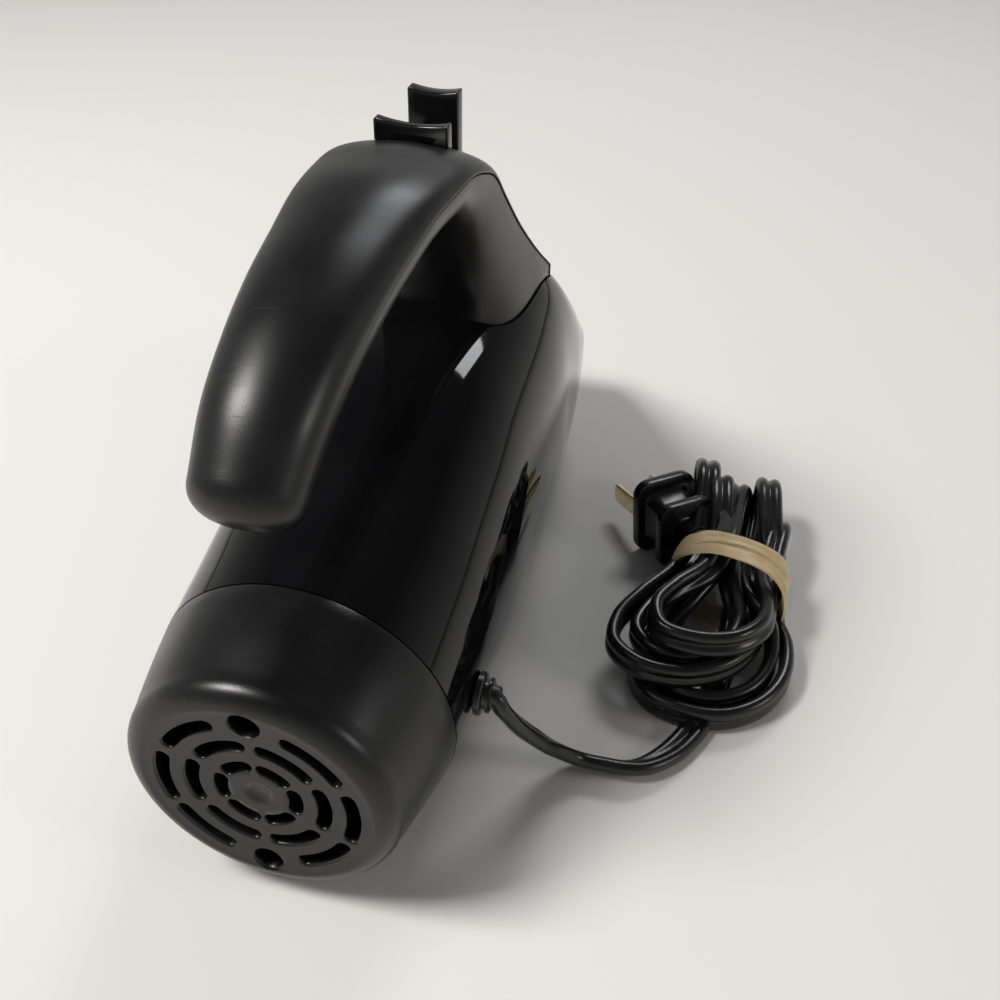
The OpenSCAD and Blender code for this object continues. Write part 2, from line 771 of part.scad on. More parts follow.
module field_coils() {
    h = pole_half_h + 0.05;
    placed() color(copper)
        for (s = [-1, 1])
            difference() {
                translate([s > 0 ? coil_x : -coil_x - coil_side, stator_y - coil_side, -h - coil_side + 0.1])
                    cube([coil_side, stack_len + 2 * coil_side, 2 * (h + coil_side - 0.1)]);
                translate([s > 0 ? coil_x - 1 : -coil_x - coil_side - 1, stator_y - 0.05, -h])
                    cube([coil_side + 2, stack_len + 0.1, 2 * h]);
            }
}

function worm_r_at(u) =
    let (f = u - floor(u), d = abs(f - 0.5) * 2)
    d < 0.3 ? worm_tip_r : d > 0.7 ? worm_root_r : lerp(worm_tip_r, worm_root_r, (d - 0.3) / 0.4);

// The thread is one right-handed start; a tooth space faces each gear at rest
module worm_thread() {
    y0 = -worm_len / 2;
    n = worm_turns * worm_steps;
    loft([
        for (i = [0:n])
            let (y = y0 + worm_len * i / n)
            [
                for (j = [0:worm_sides - 1])
                    let (a = -360 * j / worm_sides, r = worm_r_at(y / worm_pitch - a / 360 + 0.25))
                    [r * sin(a), y, r * cos(a)]
            ]
    ]);
}

module motor_shaft() {
    front = spindle_y + frame_half_len + 2;
    placed() color(steel) union() {
        along_y(bracket_y - 5) cylinder(r = shaft_r, h = spindle_y - worm_len / 2 - bracket_y + 5.5);
        translate([0, spindle_y, 0]) worm_thread();
        along_y(spindle_y + worm_len / 2 - 0.5) cylinder(r = shaft_r, h = front - spindle_y - worm_len / 2 + 0.5);
    }
}

module armature_core() {
    placed() color(dark_steel) along_y(stator_y) difference() {
        cylinder(r = armature_r, h = stack_len);
        translate([0, 0, -1]) cylinder(r = shaft_r, h = stack_len + 2);
        for (a = [0:45:315])
            rotate([0, 0, a]) translate([armature_r - 4, -1, -1]) cube([6, 2, stack_len + 2]);
    }
}

module armature_windings() {
    placed() color(copper)
        for (y = [stator_y - 3.2, stator_y + stack_len])
            along_y(y) difference() {
                cylinder(r = armature_r - 2, h = y < stator_y ? 3.2 : 4.4);
                translate([0, 0, -1]) cylinder(r = shaft_r, h = 8);
            }
}

module commutator() {
    placed() color(copper) along_y(commutator_y) difference() {
        cylinder(r = commutator_r, h = commutator_len);
        translate([0, 0, -1]) cylinder(r = shaft_r, h = commutator_len + 2);
    }
}

module cooling_fan() {
    placed() color(white_nylon) along_y(fan_y) difference() {
        union() {
            cylinder(r = fan_r, h = 1.2);
            cylinder(r = 6, h = fan_len);
            for (a = [0:30:330])
                rotate([0, 0, a]) translate([8, 0, 0]) rotate([0, 0, 20]) cube([fan_r - 11, 1, fan_len - 2]);
        }
        translate([0, 0, -1]) cylinder(r = shaft_r, h = fan_len + 2);
    }
}

module rear_bracket() {
    arm = bolt_x + 3;
    placed() color(satin_black) difference() {
        union() {
            translate([-arm, bracket_y, -6]) cube([2 * arm, bracket_t, 12]);
            translate([-5, bracket_y, -17.5]) cube([10, bracket_t, 35]);
            for (s = [-1, 1])
                translate([s > 0 ? bolt_x - 2.4 : -bolt_x - 3, bracket_y, -5])
                    cube([5.4, stator_y - bracket_y, 10]);
            along_y(bracket_y - 4) cylinder(r = bush_r + 2, h = 4.1);
        }
        along_y(bracket_y - 5) cylinder(r = bush_r, h = 20);
        for (s = [-1, 1])
            translate([s * bolt_x, 0, 0]) along_y(bracket_y - 1) cylinder(r = screw_hole_r, h = 30);
    }
}

module bracket_bolts() {
    placed() color(steel)
        for (s = [-1, 1])
            translate([s * bolt_x, 0, 0]) along_y(bracket_y) screw(stator_y - bracket_y + stack_len + 3);
}

module brush_holders() {
    y0 = bracket_y + bracket_t;
    placed() color(satin_black)
        for (s = [-1, 1])
            mirror([0, 0, s > 0 ? 0 : 1]) difference() {
                translate([-4, y0, commutator_r + 0.8])
                    cube([8, commutator_y + commutator_len - y0, 9]);
                translate([-2.6, commutator_y + 0.9, commutator_r]) cube([5.2, commutator_len - 1.8, 9]);
            }
}

module carbon_brushes() {
    placed() color([0.16, 0.16, 0.17])
        for (s = [-1, 1])
            mirror([0, 0, s > 0 ? 0 : 1]) difference() {
                translate([-2.5, commutator_y + 1, commutator_r - 2]) cube([5, commutator_len - 2, 10]);
                along_y(commutator_y - 1) cylinder(r = commutator_r + running_fit, h = commutator_len + 2);
            }
}

module bush(length) {
    difference() {
        cylinder(r = bush_r, h = length);
        translate([0, 0, -1]) cylinder(r = shaft_r + running_fit, h = length + 2);
    }
}

module rear_bearing() {
    placed() color([0.7, 0.52, 0.3]) along_y(bracket_y - 4) bush(bearing_len);
}

module front_bearings() {
    placed() color([0.7, 0.52, 0.3]) {
        along_y(spindle_y - frame_half_len) bush(frame_t);
        along_y(spindle_y + frame_half_len - frame_t) bush(frame_t);
    }
}

// ---- gear frame
module frame_plate(z) {
    difference() {
        translate([-frame_half_w, spindle_y - frame_half_len, z])
            cube([2 * frame_half_w, 2 * frame_half_len, frame_t]);
        for (x = [-spindle_x, spindle_x])
            translate([x, spindle_y, z - 1]) cylinder(r = socket_r + bush_wall, h = frame_t + 2);
        for (x = [-frame_screw_x, frame_screw_x], y = [-frame_screw_dy, frame_screw_dy])
            translate([x, spindle_y + y, z - 1]) cylinder(r = screw_hole_r, h = frame_t + 2);
    }
}

module gear_frame() {
    placed() color(white_nylon) difference() {
        union() {
            frame_plate(-frame_z - frame_t);
            for (y = [-frame_half_len, frame_half_len - frame_t])
                translate([-9, spindle_y + y, -frame_z - 0.1]) cube([18, frame_t, 2 * frame_z + 0.1]);
            for (x = [-frame_screw_x, frame_screw_x], y = [-frame_screw_dy, frame_screw_dy])
                translate([x, spindle_y + y, -frame_z - 0.1]) cylinder(r = 3.2, h = 2 * frame_z + 0.1);
        }
        along_y(spindle_y - 40) cylinder(r = bush_r, h = 80);
        for (x = [-frame_screw_x, frame_screw_x], y = [-frame_screw_dy, frame_screw_dy])
            translate([x, spindle_y + y, -20]) cylinder(r = screw_hole_r, h = 40);
    }
}

module gear_frame_cover() {
    placed() color(white_nylon) frame_plate(frame_z);
}

module gear(side) {
    tooth_half = 0.3 * worm_pitch / 2 + 0.12;
    difference() {
        union() {
            translate([0, 0, -gear_face / 2]) cylinder(r = gear_root_r, h = gear_face, $fn = 96);
            translate([0, 0, -gear_hub_len / 2]) cylinder(r = gear_hub_r, h = gear_hub_len);
            for (i = [0:gear_teeth - 1])
                rotate([0, 0, 360 * (i + (side > 0 ? 0 : 0.5)) / gear_teeth])
                    rotate([-lead_angle, 0, 0])
                        translate([0, 0, -gear_face / 2])
                            linear_extrude(gear_face)
                                polygon([
                                    [gear_root_r - 1, -tooth_half - 0.35], [gear_tip_r, -tooth_half + 0.1],
                                    [gear_tip_r, tooth_half - 0.1], [gear_root_r - 1, tooth_half + 0.35]
                                ]);
        }
        translate([0, 0, -gear_hub_len]) cylinder(r = socket_r, h = 2 * gear_hub_len);
    }
}

module left_gear() {
    placed() color(white_nylon) translate([-spindle_x, spindle_y, 0]) gear(-1);
}

module right_gear() {
    placed() color(white_nylon) translate([spindle_x, spindle_y, 0]) gear(1);
}

module socket() {
    translate([0, 0, socket_bottom]) difference() {
        cylinder(r = socket_r, h = socket_top - socket_bottom);
        translate([0, 0, -1]) cylinder(r = socket_bore_r, h = socket_grip + 1.1);
        translate([0, 0, socket_grip]) cylinder(r = socket_bore_r + 0.4, h = socket_top - socket_bottom);
    }
}

module left_socket() {
    placed() color(steel) translate([-spindle_x, spindle_y, 0]) socket();
}

module right_socket() {
    placed() color(steel) translate([spindle_x, spindle_y, 0]) socket();
}

module socket_bushes() {
    placed() color([0.7, 0.52, 0.3])
        for (x = [-spindle_x, spindle_x], z = [-frame_z - frame_t, frame_z])
            translate([x, spindle_y, z]) difference() {
                cylinder(r = socket_r + bush_wall, h = frame_t);
                translate([0, 0, -1]) cylinder(r = socket_r + running_fit, h = frame_t + 2);
            }
}

// ---- cord
module strain_relief() {
    placed() color(satin_black) translate([0, relief_y, relief_z]) rotate([0, 90, 0]) union() {
        translate([0, 0, relief_x - wall - 4.4]) cylinder(r = relief_neck_r + 2, h = 2.6);
        translate([0, 0, relief_x - wall - 2]) cylinder(r = relief_neck_r - 0.05, h = wall + 2.5);
        translate([0, 0, relief_x]) cylinder(r = relief_flange_r, h = relief_flange_t);
        translate([0, 0, relief_x + relief_flange_t - 0.1])
            cylinder(r = relief_boot_r, h = ROUTE[0][0] - relief_x - relief_flange_t + 0.1);
    }
}

function tangent(i) =
    let (n = len(ROUTE) - 1, d = ROUTE[min(i + 1, n)] - ROUTE[max(i - 1, 0)])
    d / norm(d);
function route_point(t) =
    let (
        n = len(ROUTE) - 1,
        i = min(floor(t), n - 1),
        u = t - i,
        a = ROUTE[i],
        b = ROUTE[i + 1],
        reach = norm(b - a),
        ta = tangent(i) * reach,
        tb = tangent(i + 1) * reach
    )
    a * (2 * u * u * u - 3 * u * u + 1) + ta * (u * u * u - 2 * u * u + u)
        + b * (3 * u * u - 2 * u * u * u) + tb * (u * u * u - u * u);

module power_cord() {
    steps = 3;
    n = (len(ROUTE) - 1) * steps;
    placed() color(satin_black) loft([
        for (i = [0:n])
            let (
                p = route_point(i / steps),
                d = route_point(min(i + 0.5, n) / steps) - route_point(max(i - 0.5, 0) / steps),
                t = d / norm(d),
                side = cross(t, [0, 0, 1]) / norm(cross(t, [0, 0, 1])),
                up = cross(side, t)
            )
            [
                for (j = [0:cord_sides - 1])
                    let (a = 360 * (j + 0.5) / cord_sides)
                    p + side * cord_w / 2 * cos(a) / cos(22.5) * 0.95 + up * cord_t / 2 * sin(a) / cos(22.5)
            ]
    ]);
}

// Outline of the bundled cord seen from above, grown by a margin
module hank_outline(grow) {
    hull()
        for (h = HANK) translate([h[0], h[1]]) circle(r = h[2] + grow);
}

module cord_hank() {
    placed() color(satin_black)
        translate([0, 0, floor_z + band_t]) linear_extrude(hank_h) hank_outline(0);
}

module cord_band() {
    p = [for (t = band_share) lerp(HANK[0], HANK[1], t)];
    axis = HANK[1] - HANK[0];
    placed() color(latex) intersection() {
        difference() {
            translate([0, 0, floor_z]) linear_extrude(hank_h + 2 * band_t) hank_outline(band_t);
            translate([0, 0, floor_z + band_t]) linear_extrude(hank_h) hank_outline(0);
        }
        translate([p[0][0], p[0][1], floor_z - 5]) rotate([0, 0, -atan2(axis[0], axis[1])])
            translate([-60, 0, 0]) cube([120, norm([p[1][0] - p[0][0], p[1][1] - p[0][1]]), 60]);
    }
}

module plug_place() {
    translate([plug_pos[0], plug_pos[1], floor_z]) rotate([0, 0, plug_turn]) rotate([-plug_tilt, 0, 0]) children();
}

// Rounded square flange standing on its edge, facing along Y
module flange(y, w, h, thick) {
    r = 4;
    translate([0, y, 0]) rotate([90, 0, 0]) translate([0, h / 2, 0]) linear_extrude(thick) hull()
        for (a = [-1, 1], b = [-1, 1])
            translate([a * (w / 2 - r), b * (h / 2 - r)]) circle(r);
}

module plug_body() {
    placed() color(satin_black) plug_place() union() {
        flange(0, 20.6, 24.2, 3.5);
        translate([-6, -13, 5.5]) cube([12, 10, 12]);
        flange(-11.6, 18.8, 21, 3);
        translate([0, -14, 11]) rotate([90, 0, 0]) cylinder(r = 4.2, h = 5.5);
    }
}

module plug_blades() {
    placed() color(steel) plug_place()
        for (x = [-6.35, 6.35])
            translate([x - 0.75, 0, 8.9]) cube([1.5, 17, 6.4]);
}

upper_housing();
lower_housing();
rear_cap();
front_panel();
handle_frame();
handle_grip();
speed_slider();
switch_carriage();
speed_switch();
ejector_lever();
ejector_rod();
ejector_plate();
ejector_spring();
cap_screws();
base_screws();
neck_screws();
grip_screws();
frame_screws();
stator_core();
field_coils();
motor_shaft();
armature_core();
armature_windings();
commutator();
cooling_fan();
rear_bracket();
bracket_bolts();
brush_holders();
carbon_brushes();
rear_bearing();
front_bearings();
gear_frame();
gear_frame_cover();
left_gear();
right_gear();
left_socket();
right_socket();
socket_bushes();
strain_relief();
power_cord();
cord_hank();
cord_band();
plug_body();
plug_blades();
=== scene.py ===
# Looks for the electric hand mixer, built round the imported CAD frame.  Lengths in the tables are
# millimetres in the motor frame: origin at the centre of the vent face, Y forward, Z up.
import json
import math
import bmesh
import bpy
import numpy as np
from mathutils import Matrix, Vector


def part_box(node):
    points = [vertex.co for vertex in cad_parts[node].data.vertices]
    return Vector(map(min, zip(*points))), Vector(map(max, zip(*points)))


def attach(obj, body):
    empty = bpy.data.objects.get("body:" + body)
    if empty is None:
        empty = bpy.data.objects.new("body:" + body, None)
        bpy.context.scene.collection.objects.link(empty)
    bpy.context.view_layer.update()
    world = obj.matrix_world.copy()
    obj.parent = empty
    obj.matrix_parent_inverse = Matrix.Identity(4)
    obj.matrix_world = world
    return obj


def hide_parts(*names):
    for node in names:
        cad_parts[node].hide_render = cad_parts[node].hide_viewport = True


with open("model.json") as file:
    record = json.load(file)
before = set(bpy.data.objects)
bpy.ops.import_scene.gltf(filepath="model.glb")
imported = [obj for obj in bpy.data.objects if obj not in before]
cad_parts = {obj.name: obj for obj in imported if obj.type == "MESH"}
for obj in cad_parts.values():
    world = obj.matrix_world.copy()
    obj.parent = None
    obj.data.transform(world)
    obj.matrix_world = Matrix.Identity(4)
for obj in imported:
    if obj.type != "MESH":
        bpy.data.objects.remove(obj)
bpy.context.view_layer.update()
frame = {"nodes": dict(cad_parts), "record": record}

scene = bpy.context.scene
MM = 0.001
cap_lo, cap_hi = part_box("rear_cap")
FACE_Y = cap_lo.y
AXIS_Z = (cap_lo.z + cap_hi.z) / 2


def place(p):
    """Motor frame in millimetres to the row frame in metres."""
    return Vector((p[0] * MM, FACE_Y + p[1] * MM, AXIS_Z + p[2] * MM))


# ---------------------------------------------------------------- camera
cam_data = bpy.data.cameras.new("camera")
cam_data.sensor_width = 36
cam_data.lens = 39.6
cam_data.clip_start = 0.01
cam = bpy.data.objects.new("camera", cam_data)
scene.collection.objects.link(cam)
cam_axes = Matrix(((0.9656, -0.1774, 0.1899), (0.2592, 0.6019, -0.7554), (0.0197, 0.7786, 0.6272)))
cam.matrix_world = Matrix.Translation((0.0818, -0.2308, 0.2291)) @ cam_axes.to_4x4()
scene.camera = cam


# ---------------------------------------------------------------- small helpers
def hermite(keys, rows, ts):
    """Smooth interpolation of table rows through their keys."""
    keys, rows = np.asarray(keys, float), np.asarray(rows, float)
    d = np.diff(rows, axis=0) / np.diff(keys)[:, None]
    m = np.zeros_like(rows)
    m[0], m[-1] = d[0], d[-1]
    h = np.diff(keys)
    for i in range(1, len(keys) - 1):
        w1, w2 = h[i], h[i - 1]
        m[i] = (w1 * d[i - 1] + w2 * d[i]) / (w1 + w2)
    out = []
    for t in ts:
        i = min(max(np.searchsorted(keys, t, side="right") - 1, 0), len(keys) - 2)
        u = (t - keys[i]) / h[i]
        out.append(rows[i] * (2 * u**3 - 3 * u**2 + 1) + m[i] * h[i] * (u**3 - 2 * u**2 + u)
                   + rows[i + 1] * (3 * u**2 - 2 * u**3) + m[i + 1] * h[i] * (u**3 - u**2))
    return np.array(out)


def spow(v, e):
    return math.copysign(abs(v) ** e, v)


def make(name, verts, faces, material, body="housing", angle=40, mm=True, recalc=True):
    me = bpy.data.meshes.new(name)
    me.from_pydata([place(v) for v in verts] if mm else [Vector(v) for v in verts], [], faces)
    bm = bmesh.new()
    bm.from_mesh(me)
    bmesh.ops.remove_doubles(bm, verts=bm.verts, dist=1e-7)
    if recalc:
        bmesh.ops.recalc_face_normals(bm, faces=bm.faces)
    bm.to_mesh(me)
    bm.free()
    ob = bpy.data.objects.new(name, me)
    scene.collection.objects.link(ob)
    if material:
        me.materials.append(material)
    shade(ob, angle)
    if body:
        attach(ob, body)
    return ob


def shade(ob, angle=40):
    ob.data.shade_smooth()
    ob.data.set_sharp_from_angle(angle=math.radians(angle))


def loft(rings, closed=True, start=False, end=False):
    n = len(rings[0])
    verts = [p for r in rings for p in r]
    faces = []
    for i in range(len(rings) - 1):
        for j in range(n if closed else n - 1):
            a, b = i * n + j, i * n + (j + 1) % n
            faces.append((a, b, b + n, a + n))
    if start:
        faces.append(tuple(range(n - 1, -1, -1)))
    if end:
        faces.append(tuple(range((len(rings) - 1) * n, len(rings) * n)))
    return verts, faces


def outward(verts, faces, n):
    """Turns the faces of a loft so their normals point away from the middle of their ring of n points."""
    pts = np.array([tuple(v) for v in verts])
    total = 0
    for f in faces:
        if len(f) == 4:
            mid = pts[f[0] // n * n:(f[0] // n + 1) * n].mean(axis=0)
            a, b, c, d = pts[list(f)]
            total += np.dot(np.cross(c - a, d - b), a - mid)
    return verts, faces if total > 0 else [f[::-1] for f in faces]


def apply_mods(ob):
    dg = bpy.context.evaluated_depsgraph_get()
    me = bpy.data.meshes.new_from_object(ob.evaluated_get(dg))
    ob.modifiers.clear()
    old = ob.data
    ob.data = me
    bpy.data.meshes.remove(old)


def solidify(ob, thick):
    m = ob.modifiers.new("wall", "SOLIDIFY")
    m.thickness = thick * MM
    m.offset = -1
    m.use_even_offset = False
    return m


def bevel(ob, width, segments=2, angle=50):
    m = ob.modifiers.new("edge", "BEVEL")
    m.width = width * MM
    m.segments = segments
    m.limit_method = "ANGLE"
    m.angle_limit = math.radians(angle)
    m.use_clamp_overlap = True
    return m


def cut(ob, cutters):
    """Takes the cutters out of ob, one boolean each, then deletes them."""
    bpy.context.view_layer.update()
    for c in cutters:
        m = ob.modifiers.new("cut", "BOOLEAN")
        m.operation = "DIFFERENCE"
        m.solver = "EXACT"
        m.object = c
    apply_mods(ob)
    for c in cutters:
        bpy.data.objects.remove(c)


def prism(outline, z0, z1):
    """Closed upright prism over an outline in the motor frame, to cut with."""
    v, f = loft([[(p[0], p[1], z) for p in outline] for z in (z0, z1)], True, True, True)
    return make("cutter", v, f, None, body=None)


def circle(cx, cy, r, n=48):
    turn = 2 * math.pi / n
    return [(cx + r * math.cos(turn * i), cy + r * math.sin(turn * i)) for i in range(n)]


def box(lo, hi):
    pts = [(lo[0], lo[1]), (hi[0], lo[1]), (hi[0], hi[1]), (lo[0], hi[1])]
    return prism(pts, lo[2], hi[2])


# ---------------------------------------------------------------- materials
def material(name, colour, rough, metal=0.0, spec=0.5, spot=(0.0, 60.0), vary=0.25, bump=(0.0, 900.0),
             colour2=None, scratches=0.0):
    """Moulded, metal or rubber finish: mottled colour, uneven roughness, fine bump and hairline scratches."""
    m = bpy.data.materials.new(name)
    m.use_nodes = True
    nt = m.node_tree
    nt.nodes.clear()
    N = nt.nodes.new
    L = nt.links.new
    out = N("ShaderNodeOutputMaterial")
    sh = N("ShaderNodeBsdfPrincipled")
    L(sh.outputs[0], out.inputs[0])
    tc = N("ShaderNodeTexCoord")
    n1 = N("ShaderNodeTexNoise")
    n1.inputs["Scale"].default_value = spot[1]
    n1.inputs["Detail"].default_value = 6
    L(tc.outputs["Object"], n1.inputs["Vector"])
    ramp = N("ShaderNodeValToRGB")
    c2 = colour2 or tuple(min(c * (1 + spot[0]) + 0.002 * (spot[0] > 0), 1) for c in colour)
    ramp.color_ramp.elements[0].position = 0.38
    ramp.color_ramp.elements[0].color = (*colour, 1)
    ramp.color_ramp.elements[1].position = 0.68
    ramp.color_ramp.elements[1].color = (*c2, 1)
    L(n1.outputs["Fac"], ramp.inputs["Fac"])
    L(ramp.outputs["Color"], sh.inputs["Base Color"])
    n2 = N("ShaderNodeTexNoise")
    n2.inputs["Scale"].default_value = spot[1] * 0.6 + 20
    n2.inputs["Detail"].default_value = 8
    L(tc.outputs["Object"], n2.inputs["Vector"])
    mr = N("ShaderNodeMapRange")
    mr.inputs["From Min"].default_value = 0.3
    mr.inputs["From Max"].default_value = 0.75
    mr.inputs["To Min"].default_value = rough * (1 - vary)
    mr.inputs["To Max"].default_value = rough * (1 + vary)
    L(n2.outputs["Fac"], mr.inputs["Value"])
    rough_out = mr.outputs["Result"]
    height = None
    if bump[0] > 0:
        n3 = N("ShaderNodeTexNoise")
        n3.inputs["Scale"].default_value = bump[1]
        n3.inputs["Detail"].default_value = 3
        L(tc.outputs["Object"], n3.inputs["Vector"])
        height = n3.outputs["Fac"]
    if scratches > 0:
        mp = N("ShaderNodeMapping")
        mp.inputs["Rotation"].default_value = (0.6, 0.35, 0.9)
        mp.inputs["Scale"].default_value = (1.0, 22.0, 1.0)
        L(tc.outputs["Object"], mp.inputs["Vector"])
        n4 = N("ShaderNodeTexNoise")
        n4.inputs["Scale"].default_value = 75
        n4.inputs["Detail"].default_value = 2
        L(mp.outputs[0], n4.inputs["Vector"])
        r4 = N("ShaderNodeValToRGB")
        r4.color_ramp.elements[0].position = 0.66
        r4.color_ramp.elements[1].position = 0.72
        L(n4.outputs["Fac"], r4.inputs["Fac"])
        add = N("ShaderNodeMath")
        add.operation = "MULTIPLY_ADD"
        L(r4.outputs["Color"], add.inputs[0])
        add.inputs[1].default_value = scratches
        L(rough_out, add.inputs[2])
        rough_out = add.outputs[0]
    L(rough_out, sh.inputs["Roughness"])
    if height is not None:
        b = N("ShaderNodeBump")
        b.inputs["Strength"].default_value = bump[0]
        b.inputs["Distance"].default_value = 0.0002
        L(height, b.inputs["Height"])
        L(b.outputs[0], sh.inputs["Normal"])
    sh.inputs["Metallic"].default_value = metal
    sh.inputs["Specular IOR Level"].default_value = spec
    return m


MAT = {
    "gloss_shell": material("piano_black", (0.002, 0.002, 0.0025), 0.05, spec=0.3, spot=(0.4, 25),
                            vary=0.35, scratches=0.05),
    "satin_shell": material("satin_black", (0.0035, 0.0035, 0.004), 0.3, spec=0.42, spot=(0.3, 80),
                            vary=0.14, bump=(0.1, 2600), scratches=0.05),
    "soft_grip": material("soft_grip", (0.0045, 0.0045, 0.005), 0.33, spec=0.42, spot=(0.5, 45),
                          vary=0.18, bump=(0.08, 3200), scratches=0.08),
    "gloss_control": material("control_black", (0.005, 0.005, 0.0055), 0.1, spot=(0.4, 60), vary=0.3,
                              scratches=0.05),
    "white_nylon": material("white_nylon", (0.74, 0.73, 0.68), 0.42, spot=(0.04, 70), bump=(0.08, 1500)),
    "steel": material("machined_steel", (0.6, 0.61, 0.63), 0.28, metal=1, spot=(0.1, 200), scratches=0.1),
    "spring_steel": material("spring_steel", (0.5, 0.51, 0.53), 0.3, metal=1, spot=(0.1, 300)),
    "dark_screw": material("dark_screw", (0.2, 0.2, 0.215), 0.36, metal=1, spot=(0.2, 300), scratches=0.12),
    "lamination": material("lamination", (0.27, 0.28, 0.3), 0.48, metal=1, spot=(0.25, 260),
                           bump=(0.3, 2200)),
    "copper_wire": material("copper_wire", (0.66, 0.27, 0.1), 0.26, metal=1, spot=(0.2, 400),
                            bump=(0.4, 1400)),
    "copper_bar": material("copper_bar", (0.7, 0.36, 0.18), 0.3, metal=1, spot=(0.15, 300), scratches=0.1),
    "carbon": material("carbon", (0.04, 0.04, 0.044), 0.6, spot=(0.3, 500), bump=(0.2, 1800)),
    "bronze": material("sintered_bronze", (0.5, 0.35, 0.17), 0.45, metal=1, spot=(0.2, 400),
                       bump=(0.2, 2000)),
    "cord_rubber": material("cord_pvc", (0.005, 0.005, 0.0055), 0.27, spot=(0.5, 90), vary=0.2,
                            bump=(0.1, 1500), scratches=0.05),
    "latex": material("latex", (0.56, 0.42, 0.23), 0.46, spot=(0.0, 120), colour2=(0.72, 0.58, 0.36),
                      vary=0.15, bump=(0.5, 420)),
    "plug_metal": material("plug_brass", (0.72, 0.6, 0.34), 0.28, metal=1, spot=(0.1, 200), scratches=0.1),
}
latex_shader = MAT["latex"].node_tree.nodes["Principled BSDF"]
latex_shader.inputs["Subsurface Weight"].default_value = 0.12
latex_shader.inputs["Subsurface Radius"].default_value = (0.004, 0.002, 0.001)
SLOT = {s["node"]: s["material_slot"] for s in frame["record"]["subparts"]}
for node, ob in frame["nodes"].items():
    ob.data.materials.clear()
    ob.data.materials.append(MAT[SLOT[node]])
    shade(ob, 30)

# ---------------------------------------------------------------- cord, plug and band
CORD_W, CORD_T, FLOOR_Z = 7.5, 3.8, -35.5
RELIEF_AXIS = (0, 41.4, -1)
CORD_EXIT = (38.5, 41.4, -1)
FLOOR_CLEAR = 0.05
